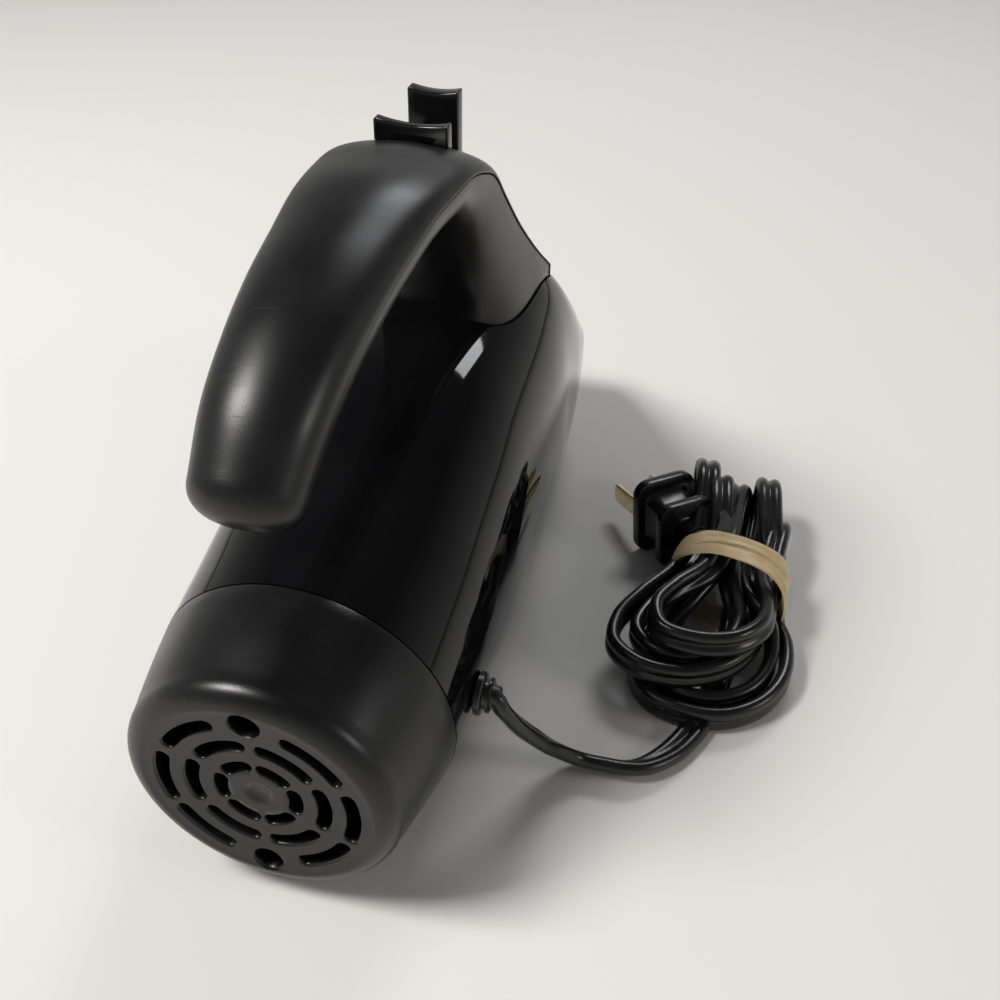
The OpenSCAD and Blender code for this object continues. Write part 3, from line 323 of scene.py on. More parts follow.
# each row: route point, direction of the flat cord's width
ROUTE = [
    (CORD_EXIT, (0, 0.4, -0.9)), ((40.5, 41.3, -1.8), (0, 0.45, -0.9)),
    ((42.4, 41.4, -5), (0, 0.5, -0.87)), ((44.9, 42.7, -10), (0, 0.6, -0.8)),
    ((49.4, 46.8, -19), (0, 0.65, -0.75)), ((53.8, 50.6, -26.5), (0, 0.62, -0.79)),
    ((59.5, 53, -31.2), (0, 0.62, -0.79)), ((65.5, 53.6, -32.2), (0, 0.62, -0.79)),
    ((71, 53.9, -32.2), (0, 0.62, -0.79)), ((75.4, 55.7, -32.4), (-0.2, 0.7, -0.6)),
    ((81.5, 62, -32.9), (-0.6, 0.6, -0.3)), ((86, 70.5, -33.3), (-0.9, 0.5, -0.1)),
    ((89, 80, -33), (-1, 0.2, 0)), ((92, 100, -32), (-1, 0, 0)), ((93, 121, -31.5), (-1, 0, 0)),
    ((92.5, 142, -32), (-1, 0, 0)), ((91, 157, -30.5), (-1, 0, 0)), ((89.5, 162.5, -25), (-1, 0, 0)),
    ((88, 159, -18.5), (-1, 0, 0)), ((87, 145, -16), (-1, 0, 0)), ((86.5, 130, -14.6), (-1, 0, 0.1)),
    # top loop, round to the right
    ((83, 115, -15.5), (-0.8, 0, 0.6)), ((75.5, 105.5, -16), (-0.3, 0, 1)), ((71, 97, -16.5), (0.1, 0, 1)),
    ((73.5, 89.5, -17), (0.1, 0.2, 1)), ((83, 87.3, -17), (0, 0.3, 1)), ((93.5, 90.5, -17), (-0.1, 0.3, 1)),
    ((99.8, 98.5, -17.5), (-0.3, 0.2, 1)), ((101, 109, -19), (-0.4, 0, 1)),
    ((99.5, 121, -20.5), (-0.8, 0, 0.5)), ((100.5, 133, -20), (-1, 0, 0.1)),
    ((101.5, 145, -20), (-1, 0, 0)), ((101.7, 150.2, -24), (-1, 0, 0)), ((101, 146, -28.5), (-1, 0, 0)),
    ((99, 133, -29), (-1, 0, 0)), ((99, 121, -27.5), (-1, 0, -0.3)),
    # middle loop, round to the left
    ((100.5, 110, -25.5), (-0.5, 0, -1)), ((98.5, 98, -24.5), (0, 0.1, -1)),
    ((92, 87.5, -24.3), (0, 0, -1)), ((81.5, 81.7, -24.3), (0, 0, -1)), ((69.5, 81.5, -24), (0, 0, -1)),
    ((61.8, 87, -23.5), (0, 0, -1)), ((61.3, 95.5, -23), (0, 0, -1)), ((66.5, 106, -22), (0.3, 0, -1)),
    ((74, 117, -21), (0.8, 0, -0.6)), ((79, 130, -20), (1, 0, -0.2)), ((79, 145, -15.5), (1, 0, 0)),
    ((77.8, 160, -13), (1, 0, 0)), ((77, 166.5, -17.5), (1, 0, 0)), ((77.4, 163, -24), (1, 0, 0)),
    ((79, 148, -27), (1, 0, 0)), ((81, 132, -27.5), (1, 0, 0)), ((80, 120, -27.6), (0.9, 0, -0.4)),
    # bottom loop, round to the right
    ((74.5, 107, -29), (0.4, 0, -1)), ((69.5, 95, -30.4), (0, 0, -1)), ((68.6, 85.5, -31), (0, 0, -1)),
    ((73.5, 77.8, -31.2), (0, 0, -1)), ((83, 74.9, -31.2), (0, 0, -1)), ((93.5, 76, -31.2), (0, 0, -1)),
    ((102.5, 82.5, -31), (0, 0, -1)), ((107.6, 92.5, -30.6), (0, 0, -1)), ((108, 104.5, -30), (0.1, 0, -1)),
    ((103.8, 116, -28), (0.6, 0, -0.8)), ((102, 128, -24), (1, 0, -0.3)), ((98.5, 145, -17), (1, 0, 0)),
    ((96.9, 158, -15), (1, 0, 0)), ((96.5, 164, -19), (1, 0, 0)), ((96.4, 161.5, -25), (1, 0, 0)),
    ((96, 147, -28.5), (1, 0, 0)), ((95, 130, -25.5), (1, 0, 0)), ((96, 119, -24.5), (0.7, 0, -0.7)),
    # inner bottom loop, round to the left
    ((102.5, 108, -26), (0.1, 0, -1)), ((103.8, 97, -29.5), (0, 0, -1)), ((99.5, 87, -31), (0, 0, -1)),
    ((90, 81, -31.2), (0, 0, -1)), ((80, 81.5, -31.2), (0, 0, -1)), ((74, 88.5, -31), (0, 0, -1)),
    ((74, 98, -30), (0, 0, -1)), ((80, 110, -24), (-0.5, 0, -1)), ((84, 121, -20), (-1, 0, -0.4)),
    ((84.5, 134, -17.5), (-1, 0, 0)), ((83.2, 148, -13.4), (-1, 0, 0)), ((82.3, 156, -13.8), (-1, 0, 0)),
    ((82, 159.3, -18), (-1, 0, 0)), ((82.5, 156.5, -22.5), (-1, 0, 0)), ((85, 143, -23), (-1, 0, 0)),
    ((88.5, 128, -20.5), (-1, 0, 0)), ((90, 116, -20.5), (-0.6, 0, -0.8)),
    # second middle loop, and back up into the plug
    ((93.5, 104, -23.5), (-0.1, 0, -1)), ((90.5, 94, -24.5), (0, 0, -1)), ((82.5, 87.8, -24.5), (0, 0, -1)),
    ((73, 87.8, -24.3), (0, 0, -1)), ((67, 93.5, -24), (0, 0, -1)), ((68.6, 103, -23.8), (0, 0, -1)),
    ((75.5, 113, -24.2), (0.3, 0.2, -1)), ((80.3, 120.6, -24.5), (0.5, 0.4, -1)),
    ((81.8, 127, -22.4), (0.6, 0.45, -1)), ((79.4, 132.4, -20.7), (0.6, 0.5, -0.6)),
]


def route(rows, step=0.9):
    """Even points along the smooth route, with the width direction at each."""
    pts = np.array([r[0] for r in rows], float)
    wid = np.array([np.array(r[1], float) / np.linalg.norm(r[1]) for r in rows])
    keys = np.concatenate([[0], np.cumsum(np.linalg.norm(np.diff(pts, axis=0), axis=1) ** 0.75)])
    ts = np.linspace(0, keys[-1], 2600)
    dense = hermite(keys, np.hstack([pts, wid]), ts)
    s = np.concatenate([[0], np.cumsum(np.linalg.norm(np.diff(dense[:, :3], axis=0), axis=1))])
    even = np.linspace(0, s[-1], int(s[-1] / step))
    return np.stack([np.interp(even, s, dense[:, k]) for k in range(6)], axis=1), s[-1]


def flat_section(w, t, n=12):
    """Two round cores side by side with a groove between them."""
    pts = []
    r = t / 2
    off = w / 2 - r
    for sgn in (1, -1):
        for i in range(n):
            a = math.radians(-146 + 292 * i / (n - 1))
            pts.append((sgn * (off + r * math.cos(a)), sgn * r * math.sin(a)))
    return pts


path, cord_length = route(ROUTE)
section = flat_section(CORD_W, CORD_T)
rings = []
side = None
for i in range(len(path)):
    p = path[i, :3]
    t = path[min(i + 1, len(path) - 1), :3] - path[max(i - 1, 0), :3]
    t /= np.linalg.norm(t)
    w = path[i, 3:] - t * np.dot(path[i, 3:], t)
    w /= np.linalg.norm(w)
    side = w if side is None else side
    if np.dot(w, side) < 0:
        w = -w
    side = w
    nrm = np.cross(t, w)
    ring = np.array([p + w * a + nrm * b for a, b in section])
    ring[:, 2] += max(0, FLOOR_Z + FLOOR_CLEAR - ring[:, 2].min())
    rings.append(ring)
cord = make("power_lead", *loft(rings, True, True, True), MAT["cord_rubber"], angle=50)
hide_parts("power_cord", "cord_hank")

# plug: blades point away and a little down, the cable comes out towards the band
PLUG_AT = (66.8, 147.5, FLOOR_Z)
PLUG_TURN, PLUG_DIP = math.radians(40), math.radians(10.5)
BLADE_SIDE, BLADE_Z = 6.35, 12.1
plug_frame = (Matrix.Translation(place(PLUG_AT)) @ Matrix.Rotation(PLUG_TURN, 4, "Z")
              @ Matrix.Rotation(-PLUG_DIP, 4, "X"))


def rounded_rect(w, h, r, cz, n=7):
    pts = []
    for cx, cy, a0 in ((1, 1, 0), (-1, 1, 90), (-1, -1, 180), (1, -1, 270)):
        for i in range(n):
            a = math.radians(a0 + 90 * i / (n - 1))
            pts.append((cx * (w / 2 - r) + r * math.cos(a), cz + cy * (h / 2 - r) + r * math.sin(a)))
    return pts


def plug_loft(name, rows):
    """rows: [y, width, height, corner radius, centre height] from the blade side back."""
    rs = []
    for y, w, h, r, cz in rows:
        rs.append([plug_frame @ Vector((x * MM, y * MM, z * MM)) for x, z in rounded_rect(w, h, r, cz)])
    v, f = loft(rs, True, True, True)
    return make(name, v, f, MAT["cord_rubber"], mm=False, angle=38)


def plate(y, w, h, r, cz, t, e=0.7):
    """Rows of a plate with rounded rims, from y back to y - t."""
    rim, near = [w - 2 * e, h - 2 * e, r - e * 0.5, cz], [w - 0.6 * e, h - 0.6 * e, r, cz]
    return [[y] + rim, [y - 0.25 * e] + near, [y - e, w, h, r, cz],
            [y - t + e, w, h, r, cz], [y - t + 0.25 * e] + near, [y - t] + rim]


plug_rows = plate(0, 20.6, 24.2, 4.6, 12.1, 3.4) + [
    [-3.45, 15.4, 17.6, 3.6, 11.9], [-4.3, 14.2, 16.2, 3.4, 11.7], [-7.8, 13.2, 14.8, 3.2, 11.3],
    [-11.1, 12.6, 13.8, 3.2, 11]]
plug_rows += plate(-11.6, 18.8, 21.1, 4.3, 10.6, 3.1)
plug_rows += [[-14.8, 11.2, 11.4, 3.2, 10.8]]
for k in range(5):
    y = -15.3 - 1.5 * k
    w = 9.8 - 0.35 * k
    rib, neck = [w, w, w / 2 - 0.5, 11], [w - 1.6, w - 1.6, w / 2 - 1.2, 11]
    plug_rows += [[y] + rib, [y - 0.9] + rib, [y - 1.0] + neck, [y - 1.5] + neck]
plug = plug_loft("plug_shell", plug_rows)
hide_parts("plug_body")

BLADE_EDGE = ((1, 0.85), (0.75, 1), (-0.75, 1), (-1, 0.85), (-1, -0.85), (-0.75, -1), (0.75, -1), (1, -0.85))
blades_v, blades_f = [], []
for sx in (-BLADE_SIDE, BLADE_SIDE):
    rs = []
    for yy, hw, ht in ((-1, 3.2, 0.75), (14.6, 3.2, 0.75), (16.2, 2.6, 0.6), (17, 1.8, 0.35)):
        rs.append([plug_frame @ Vector((sx * MM + a * ht * MM, yy * MM, (BLADE_Z + b * hw) * MM))
                   for a, b in BLADE_EDGE])
    v, f = loft(rs, True, True, True)
    blades_f += [tuple(i + len(blades_v) for i in q) for q in f]
    blades_v += v
blades = make("plug_pins", blades_v, blades_f, MAT["plug_metal"], mm=False, angle=30)
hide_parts("plug_blades")


# band: three overlapping turns of flat latex, each with its own tilt and crumple
BAND_X, BAND_Z = 89.2, -23.1
BAND_HALF_W, BAND_UP, BAND_DOWN = 15.6, 11.6, 10.3
BAND_SQUARE = 2 / 2.6
BAND_PROFILE = ((-1, 0), (-0.93, 0.45), (-0.7, 0.6), (-0.35, 0.75), (0, 0.5), (0.3, 0.85), (0.65, 0.55),
                (0.93, 0.5), (1, 0.05), (0.6, -0.15), (-0.6, -0.15))


def band_ring(name, y_mid, tilt, skew, width, swell, phase, wrinkle):
    n, rows = 160, []
    for i in range(n):
        a = 2 * math.pi * i / n
        half_h = BAND_UP if math.sin(a) > 0 else BAND_DOWN
        cx = BAND_X + (BAND_HALF_W + swell) * spow(math.cos(a), BAND_SQUARE)
        cz = BAND_Z + (half_h + swell) * spow(math.sin(a), BAND_SQUARE)
        ym = y_mid + tilt * (cx - BAND_X) / 15 + skew * math.sin(a) + wrinkle * math.sin(3 * a + phase)
        hw = width / 2 * (1 + 0.18 * math.sin(2 * a + phase) + 0.1 * math.sin(5 * a + 2 * phase))
        nx, nz = math.cos(a), math.sin(a)
        ring = []
        for u, off in BAND_PROFILE:
            k = off + 0.28 * math.sin(4 * u + 2.2 * a + phase) * (off > 0.2)
            ring.append((cx + nx * k, ym + u * hw, cz + nz * k))
        rows.append(ring)
    rows.append(rows[0])
    v, f = loft(rows, True)
    ob = make(name, v, f, MAT["latex"], angle=60)
    return ob


bands = [band_ring("band_turn_a", 119.6, -2.6, 3.2, 8.2, 0.1, 0.3, 0.7),
         band_ring("band_turn_b", 121.9, -0.2, 2.0, 5.4, 0.75, 2.1, 1.0),
         band_ring("band_turn_c", 117.6, -3.6, 1.2, 4.6, 0.6, 4.0, 0.8)]
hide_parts("cord_band")

def lathe(name, profile, axis_point, axis, mat, n=64, squash=(1, 1), body="housing", angle=38):
    """profile: (distance along the axis, radius)."""
    rs = []
    for s, r in profile:
        ring = []
        for i in range(n):
            a = 2 * math.pi * i / n
            c, d = r * squash[0] * math.cos(a), r * squash[1] * math.sin(a)
            if axis == "x":
                ring.append((axis_point[0] + s, axis_point[1] + c, axis_point[2] + d))
            elif axis == "y":
                ring.append((axis_point[0] + c, axis_point[1] + s, axis_point[2] + d))
            else:
                ring.append((axis_point[0] + c, axis_point[1] + d, axis_point[2] + s))
        rs.append(ring)
    caps = profile[0] != profile[-1]
    v, f = loft(rs, True, caps and profile[0][1] > 0.01, caps and profile[-1][1] > 0.01)
    return make(name, v, f, mat, body=body, angle=angle)


# strain relief: neck through the wall, collar and a short boot with a second lip
RELIEF_PROFILE = [
    (29.3, 4.6), (29.6, 5.1), (31.6, 5.1), (31.9, 4.4), (31.95, 3.1), (36.15, 3.1), (36.2, 4.5), (36.5, 5.05),
    (37.7, 5.05), (38.05, 4.6), (38.1, 3.5), (38.9, 3.4), (39.0, 4.1), (39.7, 4.1), (39.9, 3.6), (39.95, 2.9),
    (41.6, 2.5), (41.9, 2.1),
]
relief_ob = lathe("relief_sleeve", RELIEF_PROFILE, RELIEF_AXIS, "x", MAT["cord_rubber"], squash=(1.0, 1.04))
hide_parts("strain_relief")

# ---------------------------------------------------------------- body shells
BODY_LEN, MOTOR_R, HALF_W, DECK, SPLIT, WALL = 216, 35.5, 36.3, 51, 1, 2.2
CAP_LEN = 27.4
SLOPE_Y = BODY_LEN - 51
CREST_Y = SLOPE_Y - 57
DECK_Y = CREST_Y + 10
BELLY_Y = (CAP_LEN + DECK_Y) / 2
CHIN = MOTOR_R + 3.5
BODY = [
    [CAP_LEN, MOTOR_R, MOTOR_R, MOTOR_R, 2],
    [CAP_LEN + 12, (MOTOR_R + HALF_W) / 2, MOTOR_R * 0.85 + DECK * 0.15, MOTOR_R + 0.6, 2.1],
    [CAP_LEN + 30, HALF_W, MOTOR_R * 0.6 + DECK * 0.4, MOTOR_R + 1.5, 2.3],
    [BELLY_Y + 6, HALF_W, MOTOR_R * 0.32 + DECK * 0.68, MOTOR_R + 2.5, 2.5],
    [CREST_Y - 10, HALF_W * 0.98, MOTOR_R * 0.1 + DECK * 0.9, CHIN, 2.8],
    [DECK_Y, HALF_W * 0.97, DECK, CHIN, 3],
    [DECK_Y + 24, HALF_W * 0.94, DECK + 0.4, CHIN, 3.2],
    [SLOPE_Y - 8, HALF_W * 0.9, DECK, CHIN, 3.2],
    [SLOPE_Y + 2, HALF_W * 0.88, DECK - 3.5, CHIN, 3.2],
    [SLOPE_Y + 13, HALF_W * 0.86, DECK - 13, CHIN, 3.2],
    [SLOPE_Y + 24, HALF_W * 0.83, DECK - 23.5, CHIN - 0.5, 3],
    [SLOPE_Y + 33, HALF_W * 0.8, DECK - 33, CHIN - 4, 2.8],
    [SLOPE_Y + 41, HALF_W * 0.75, DECK - 42, CHIN - 10, 2.6],
    [SLOPE_Y + 46.5, HALF_W * 0.66, DECK - 49, CHIN - 17, 2.4],
    [SLOPE_Y + 50, HALF_W * 0.5, DECK - 53.5, CHIN - 23.5, 2.2],
    [BODY_LEN, HALF_W * 0.3, DECK - 56, CHIN - 28, 2],
]


def body_rings(n=176, gap=0.1):
    keys = [s[0] for s in BODY]
    ys = list(np.linspace(CAP_LEN + gap, SLOPE_Y + 38, 92)) + list(np.linspace(SLOPE_Y + 39, BODY_LEN, 26))
    rows = hermite(keys, [s[1:] for s in BODY], ys)
    rings = []
    for yy, (w, top, low, sq) in zip(ys, rows):
        cz = -SPLIT * (yy - CAP_LEN) / (BODY_LEN - CAP_LEN)
        ring = []
        for i in range(n):
            a = 2 * math.pi * i / n
            reach = top - cz if math.sin(a) >= 0 else low + cz
            z = cz + reach * spow(math.sin(a), 2 / sq)
            ring.append((w * spow(math.cos(a), 2 / sq), yy, max(z, -MOTOR_R)))
        rings.append(ring)
    return rings


BODY_RINGS = body_rings()


def body_piece(name, keep, planes, mat, gap=0.1):
    """Outer skin cut along planes (point, normal); faces whose centre fails keep are dropped."""
    v, f = outward(*loft(BODY_RINGS, True, False, True), len(BODY_RINGS[0]))
    ob = make(name, v, f, mat, angle=32, recalc=False)
    bm = bmesh.new()
    bm.from_mesh(ob.data)
    for co, no in planes:
        bmesh.ops.bisect_plane(bm, geom=bm.verts[:] + bm.edges[:] + bm.faces[:], plane_co=place(co),
                               plane_no=Vector(no), dist=1e-6)
    drop = []
    for fc in bm.faces:
        c = fc.calc_center_median()
        if not keep(c.x / MM, (c.y - FACE_Y) / MM, (c.z - AXIS_Z) / MM):
            drop.append(fc)
    bmesh.ops.delete(bm, geom=drop, context="FACES")
    bm.to_mesh(ob.data)
    bm.free()
    solidify(ob, WALL)
    apply_mods(ob)
    return ob


NECK_HALF_W = HALF_W * 0.63
PANEL_W = NECK_HALF_W - 1
PANEL_Y, PANEL_Z = SLOPE_Y - 5, -SPLIT + 5
GAP = 0.16


def in_panel(x, y, z, g):
    return abs(x) < PANEL_W + g and y > PANEL_Y - g and z > PANEL_Z - g


def panel_planes(g):
    return [((PANEL_W + g, 0, 0), (1, 0, 0)), ((-PANEL_W - g, 0, 0), (1, 0, 0)),
            ((0, PANEL_Y - g, 0), (0, 1, 0)), ((0, 0, PANEL_Z - g), (0, 0, 1))]


SPLIT_GAP = 0.14
upper = body_piece("upper_shell", lambda x, y, z: z > -SPLIT + SPLIT_GAP / 2 and not in_panel(x, y, z, GAP),
                   [((0, 0, -SPLIT + SPLIT_GAP / 2), (0, 0, 1))] + panel_planes(GAP), MAT["gloss_shell"])
lower = body_piece("lower_shell", lambda x, y, z: z < -SPLIT - SPLIT_GAP / 2,
                   [((0, 0, -SPLIT - SPLIT_GAP / 2), (0, 0, 1))], MAT["gloss_shell"])
panel = body_piece("nose_panel", lambda x, y, z: in_panel(x, y, z, 0), panel_planes(0), MAT["satin_shell"])
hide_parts("upper_housing")
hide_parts("lower_housing")
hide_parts("front_panel")


def neck_outline(grow, n=96):
    """Plan outline of the neck at the deck."""
    y0, y1, w, crown, sq = CREST_Y + 10.4, CREST_Y + 57, NECK_HALF_W + grow, 4.8, 5
    depth = y1 - y0
    pts = []
    for i in range(n):
        a = 2 * math.pi * i / n
        e = 1 if math.sin(a) >= 0 else 2 / sq
        reach = (crown if math.sin(a) >= 0 else depth) + grow
        pts.append((w * spow(math.cos(a), e), y1 + reach * spow(math.sin(a), e)))
    return pts


SPINDLE = (16.2, SLOPE_Y - 15)
BASE_SCREWS = [(-21, 112), (21, 112), (0, SLOPE_Y + 27)]
SCREW_R, BEATER_R, NECK_CLEAR = 3.3, 5.8, 0.3


def relief_hole():
    return lathe("cutter", [(25, 3.25), (45, 3.25)], RELIEF_AXIS, "x", None, body=None)


cut(upper, [prism(neck_outline(NECK_CLEAR), 30, 75), relief_hole()])
cut(panel, [prism(neck_outline(NECK_CLEAR), 30, 75)])
holes = [prism(circle(sx * SPINDLE[0], SPINDLE[1], BEATER_R), -45, -25) for sx in (-1, 1)]
holes += [prism(circle(x, yy, SCREW_R), -45, -25) for x, yy in BASE_SCREWS]
holes.append(relief_hole())
cut(lower, holes)
for ob in (upper, lower, panel):
    shade(ob, 32)

# inner sleeves seen through the openings of the underside: screw wells and beater collars
SCREW_WELL = [(-35.3, 3.25), (-35.4, 4.2), (-33.2, 4.4), (-26.6, 4.3), (-26.5, 1.8), (-26.7, 1.8), (-27, 3.25),
              (-35.3, 3.25)]
BEATER_COLLAR = [(-35.4, 5.7), (-35.1, 5.35), (-34, 5.3), (-28, 5.3), (-27.8, 6.6), (-33.5, 7.4), (-33.5, 5.9),
                 (-35.4, 5.7)]
for k, (x, yy) in enumerate(BASE_SCREWS):
    well = lathe(f"screw_well_{k}", SCREW_WELL, (x, yy, 0), "z", MAT["gloss_shell"], n=40)
for k, sx in enumerate((-1, 1)):
    collar = lathe(f"beater_collar_{k}", BEATER_COLLAR, (sx * SPINDLE[0], SPINDLE[1], 0), "z",
                   MAT["gloss_shell"], n=48)

# ---------------------------------------------------------------- rear cap
FACE_R, CAP_ROUND = 31.2, 5


def dish(r):
    """Depth of the slightly hollow vent face at radius r."""
    return 1.25 * max(0.0, 1 - (r / 26.5) ** 2)


outer = [(dish(0) + 0.55, 0.0), (dish(0) + 0.55, 1.9), (dish(2.3) + 0.3, 2.45), (dish(3), 3.0)]
outer += [(dish(r), r) for r in np.linspace(4, 26, 16)]
for k in range(11):
    a = math.radians(9 * k)
    outer.append((CAP_ROUND - CAP_ROUND * math.cos(a), FACE_R - CAP_ROUND + CAP_ROUND * math.sin(a)))
slope = (MOTOR_R - FACE_R) / (CAP_LEN - CAP_ROUND)
for yy in np.linspace(CAP_ROUND + 2, CAP_LEN - 0.5, 9):
    along = yy - CAP_ROUND
    outer.append((yy, FACE_R + slope * along + 0.22 * math.sin(math.pi * along / (CAP_LEN - CAP_ROUND))))
outer += [(CAP_LEN - 0.2, MOTOR_R - 0.12), (CAP_LEN - 0.12, MOTOR_R - 0.4)]
inner = [(CAP_LEN - 0.12, MOTOR_R - WALL), (CAP_ROUND + 1, FACE_R - WALL), (3.2, FACE_R - WALL - 1.6),
         (WALL + 0.3, FACE_R - CAP_ROUND - 1), (dish(15) + WALL, 15.0), (dish(0) + WALL + 0.6, 0.0)]
cap = lathe("vent_cap", outer + inner, (0, 0, 0), "y", MAT["satin_shell"], n=240)


def slot_cutter(r, mid, half, ease, w=3.0):
    """Curved slot with round ends and eased rims, along the motor axis."""
    def outline(grow):
        pts = []
        hw = w / 2 + grow
        for i in range(25):
            a = math.radians(90 - (mid - half + 2 * half * i / 24))
            pts.append(((r + hw) * math.cos(a), (r + hw) * math.sin(a)))
        for end, sgn in ((mid + half, 1), (mid - half, -1)):
            a = math.radians(90 - end)
            cx, cz = r * math.cos(a), r * math.sin(a)
            for i in range(1, 10):
                b = a - math.pi * i / 10 if sgn > 0 else a + math.pi - math.pi * i / 10
                pts.append((cx + hw * math.cos(b), cz + hw * math.sin(b)))
            if sgn > 0:
                for i in range(25):
                    q = math.radians(90 - (mid + half - 2 * half * i / 24))
                    pts.append(((r - hw) * math.cos(q), (r - hw) * math.sin(q)))
        return pts
    s = dish(r)
    rs = [[(p[0], yy, p[1]) for p in outline(g)] for g, yy in
          ((ease, -3), (ease, s - 0.02), (0.55 * ease, s + 0.07), (0.2 * ease, s + 0.25), (0, s + 0.5), (0, 9))]
    return loft(rs, True, True, True)


# radius, mid angles, half angle and eased rim of each ring of slots
SLOT_RINGS = (
    (21.5, (41, 91, 138, 222, 269, 319), 17, 0.5), (15, (30, 90, 150, 210, 270, 330), 20, 0.5),
    (8.5, (30, 90, 150, 210, 270, 330), 16.5, 0.3),
)
CAP_SCREW_R = 22.5
slots_v, slots_f = [], []
for r, mids, half, ease in SLOT_RINGS:
    for mid in mids:
        v, f = slot_cutter(r, mid, half, ease)
        slots_f += [tuple(i + len(slots_v) for i in q) for q in f]
        slots_v += v
cutters = [make("slots", slots_v, slots_f, None, body=None)]
for s in (-1, 1):
    d = dish(CAP_SCREW_R)
    cutters.append(lathe("cutter", [(-3, 3.75), (d - 0.02, 3.75), (d + 0.1, 3.55), (d + 0.4, 3.35), (12, 3.35)],
                         (0, 0, s * CAP_SCREW_R), "y", None, n=64, body=None))
cut(cap, cutters)
shade(cap, 36)
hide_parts("rear_cap")
CAP_WELL = [(0.9, 3.37), (1.2, 4.6), (27.0, 4.75), (27.1, 1.8), (21.5, 1.8), (21.4, 3.37), (0.9, 3.37)]
for k, s in enumerate((-1, 1)):
    well = lathe(f"cap_well_{k}", CAP_WELL, (0, 0, s * CAP_SCREW_R), "y", MAT["satin_shell"], n=48)

# ---------------------------------------------------------------- handle: smooth arch, split along its seam
HANDLE_H, HANDLE_REAR, HANDLE_W, GRIP_WALL = 97.4, 11, 17.8, 2.2
NECK_Z = DECK - 5
BAR_LEN = CREST_Y - HANDLE_REAR
END_TILT, END_ROUND = 44, 7.6
BAR = [
    [0.054, 27.2, 0.635, END_TILT, 8.5, 12], [0.156, 18.3, 0.697, 39, 8.8, 12],
    [0.278, 11.7, 0.742, 25, 8.8, 12],
    [0.418, 6.7, 0.798, 17, 8.5, 12], [0.557, 3.4, 0.848, 12, 7.8, 12], [0.711, 0.4, 0.916, 6, 6.6, 12],
    [0.835, 0, 0.966, -1, 5.5, 12], [0.948, 0.7, 0.99, -9, 5, 13],
]
FLARE = NECK_HALF_W - HANDLE_W
NECK = [
    [4, 0.965, -2, 0.685, HANDLE_W, 2.3], [12, 0.885, 2.5, 0.555, HANDLE_W, 2.6],
    [22, 0.685, 6, 0.413, HANDLE_W + FLARE * 0.08, 3], [34, 0.433, 8.5, 0.272, HANDLE_W + FLARE * 0.28, 3.6],
    [48, 0.161, 10.5, 0.121, HANDLE_W + FLARE * 0.68, 4.4], [57, 0, 10.4, 0, NECK_HALF_W, 5],
]
NECK_RISE = HANDLE_H - 1.8 - NECK_Z
table = []
for share, drop, ws, tilt, crown, depth in BAR:
    sy, sz = HANDLE_REAR + BAR_LEN * share, HANDLE_H - drop
    t = math.radians(tilt)
    table.append([sy, sz, sy + math.sin(t) * depth, sz - math.cos(t) * depth, HANDLE_W * ws, crown, 2.3])
for sy, sz, iy, iz, w, sq in NECK:
    table.append([CREST_Y + sy, NECK_Z + NECK_RISE * sz, CREST_Y + iy, NECK_Z + NECK_RISE * iz, w, 4.8, sq])
keys = [0.0]
for a, b in zip(table, table[1:]):
    seam = math.hypot(b[0] - a[0], b[1] - a[1])
    under = math.hypot(b[2] - a[2], b[3] - a[3])
    keys.append(keys[-1] + 0.5 * (seam + under))
ROWS = hermite(keys, table, np.linspace(0, keys[-1], 120))


def handle_point(row, a, k=1.0, move=(0, 0), side=1.0):
    sy, sz, iy, iz, w, crown, sq = row
    depth = math.hypot(sy - iy, sz - iz)
    uy, uz = (sy - iy) / depth, (sz - iz) / depth
    my, mz = sy - uy * (depth - crown) / 2, sz - uz * (depth - crown) / 2
    top = math.sin(a) >= 0
    n = 2 if top else sq
    x = w * k * side * spow(math.cos(a), 2 / n)
    v = (crown if top else depth) * spow(math.sin(a), 2 / n)
    return (x, my + move[0] + (sy + uy * v - my) * k, mz + move[1] + (sz + uz * v - mz) * k)


def handle_half(name, upper_half, mat, n, side=1.0, tail=0.0, seam_gap=0.4):
    """Rounded end, then every row, over the top half of the section or round the rest of it."""
    def arc(row, k=1.0, move=(0, 0)):
        if upper_half:
            a0, a1 = 0, math.pi
        else:
            depth = math.hypot(row[0] - row[2], row[1] - row[3])
            off = math.asin((seam_gap / depth) ** (row[6] / 2))
            a0, a1 = math.pi + off, 2 * math.pi - off
        return [handle_point(row, a0 + (a1 - a0) * j / n, k, move, side) for j in range(n + 1)]

    back = (-math.cos(math.radians(END_TILT)), -math.sin(math.radians(END_TILT)))
    rings = []
    for i in range(15, 0, -1):
        th = math.radians(90 * i / 16)
        k, e = math.cos(th) ** 0.8, math.sin(th) ** 0.9
        rings.append(arc(ROWS[0], k, (back[0] * END_ROUND * e, back[1] * END_ROUND * e)))
    rings += [arc(row) for row in ROWS]
    rings.append([(p[0], p[1], p[2] - tail) for p in rings[-1]])
    v, f = outward(*loft(rings, closed=False), n + 1)
    ob = make(name, v, f, mat, angle=45, recalc=False)
    solidify(ob, GRIP_WALL)
    bevel(ob, 0.35, 3, 60)
    apply_mods(ob)
    return ob


grip = handle_half("grip_shell", True, MAT["soft_grip"], 64, tail=3)
under = handle_half("handle_lower", False, MAT["satin_shell"], 96, side=0.99, tail=4)
SLIDER_Y, EJECT_Y = CREST_Y + 4, CREST_Y + 21
cut(grip, [box((-5, SLIDER_Y - 2.7, 88), (5, SLIDER_Y + 11.4, 115)),
           box((-6.8, EJECT_Y - 2.5, 75), (6.8, EJECT_Y + 2.5, 115))])
for ob in (grip, under):
    shade(ob, 40)
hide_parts("handle_grip")
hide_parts("handle_frame")


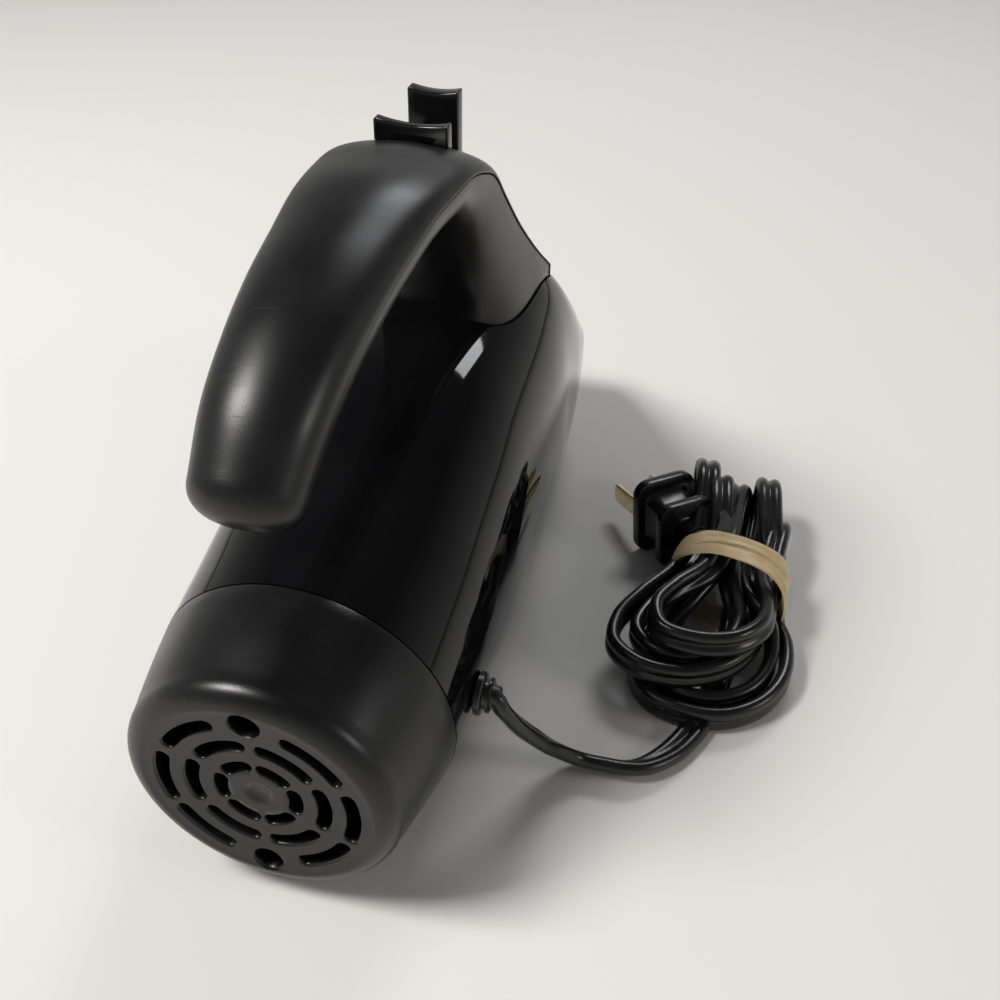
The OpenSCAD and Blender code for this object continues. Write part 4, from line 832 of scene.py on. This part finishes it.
# ---------------------------------------------------------------- thumb controls
def paddle(name, w, y_rear, y_front, base, top, hollow_top, hollow_rear, body, mat, n=26):
    """Upright pad with a hollow top edge and a hollow rear face."""
    rings = []
    for i in range(n + 1):
        u = -1 + 2 * i / n
        x = u * w / 2
        zt = top - hollow_top * (1 - u * u)
        yr = y_rear + hollow_rear * (1 - u * u)
        rings.append([(x, yr, base(x, yr)), (x, yr, zt), (x, y_front, zt), (x, y_front, base(x, y_front))])
    v, f = loft(rings, True, True, True)
    ob = make(name, v, f, mat, body=None, angle=45)
    bevel(ob, 0.42, 3, 50)
    apply_mods(ob)
    shade(ob, 45)
    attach(ob, body)
    return ob


def on_crown(x, y):
    """Just above the rounded top of the grip near the slider."""
    return HANDLE_H + 1.6 - 0.36 * (y - SLIDER_Y) - 4.8 * (1 - math.sqrt(1 - (x / 17.3) ** 2))


SLIDER_TOP = HANDLE_H + 6.6
LEVER_TOP = 106
control = MAT["gloss_control"]
slider = paddle("slider_thumb", 17.8, SLIDER_Y - 1.7, SLIDER_Y + 1.7, on_crown, SLIDER_TOP, 1.1, 1.0,
                "speed_control", control)
paddle("slider_stem", 9, SLIDER_Y - 0.7, SLIDER_Y + 1.5, lambda x, y: HANDLE_H - 11, HANDLE_H + 3.6, 0, 0,
       "speed_control", control, n=4)
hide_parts("speed_slider")
lever = paddle("ejector_thumb", 12.6, EJECT_Y - 2, EJECT_Y + 2, lambda x, y: HANDLE_H - 17.4, LEVER_TOP,
               0.8, 0.0, "ejector", control)
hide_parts("ejector_lever")

# ---------------------------------------------------------------- floor and light
floor_v = [(-3, -3, 0), (3, -3, 0), (3, 3, 0), (-3, 3, 0)]
floor = make("floor", floor_v, [(0, 1, 2, 3)], None, body=None, mm=False)
fm = bpy.data.materials.new("floor")
fm.use_nodes = True
fb = fm.node_tree.nodes["Principled BSDF"]
fb.inputs["Base Color"].default_value = (0.86, 0.85, 0.82, 1)
fb.inputs["Roughness"].default_value = 0.9
fb.inputs["Specular IOR Level"].default_value = 0.2
floor.data.materials.append(fm)


def area(name, loc, target, size, power, colour=(1, 1, 1)):
    d = bpy.data.lights.new(name, "AREA")
    d.shape = "RECTANGLE"
    d.size, d.size_y = size
    d.energy = power
    d.color = colour
    ob = bpy.data.objects.new(name, d)
    scene.collection.objects.link(ob)
    ob.location = loc
    ob.rotation_euler = (Vector(target) - Vector(loc)).to_track_quat("-Z", "Y").to_euler()
    return ob


area("key", (-0.6, -0.35, 0.95), (0, -0.02, 0.04), (0.34, 0.34), 11, (1, 0.985, 0.95))
area("top", (0.1, 0.8, 0.9), (0.03, 0, 0), (0.45, 0.22), 3, (0.97, 0.98, 1))
area("side", (0.95, -0.1, 0.5), (0.04, 0, 0.03), (0.3, 0.2), 1.2, (1, 0.98, 0.95))
scene.view_settings.view_transform = "Standard"

world = bpy.data.worlds.new("studio")
scene.world = world
world.use_nodes = True
wn = world.node_tree
bg = wn.nodes["Background"]
tcw = wn.nodes.new("ShaderNodeTexCoord")
sep = wn.nodes.new("ShaderNodeSeparateXYZ")
rw = wn.nodes.new("ShaderNodeValToRGB")
wn.links.new(tcw.outputs["Generated"], sep.inputs[0])
wn.links.new(sep.outputs["Z"], rw.inputs["Fac"])
rw.color_ramp.elements[0].position = 0.0
rw.color_ramp.elements[0].color = (0.9, 0.89, 0.86, 1)
rw.color_ramp.elements[1].position = 0.7
rw.color_ramp.elements[1].color = (0.13, 0.13, 0.14, 1)
wn.links.new(rw.outputs["Color"], bg.inputs["Color"])
bg.inputs["Strength"].default_value = 0.62
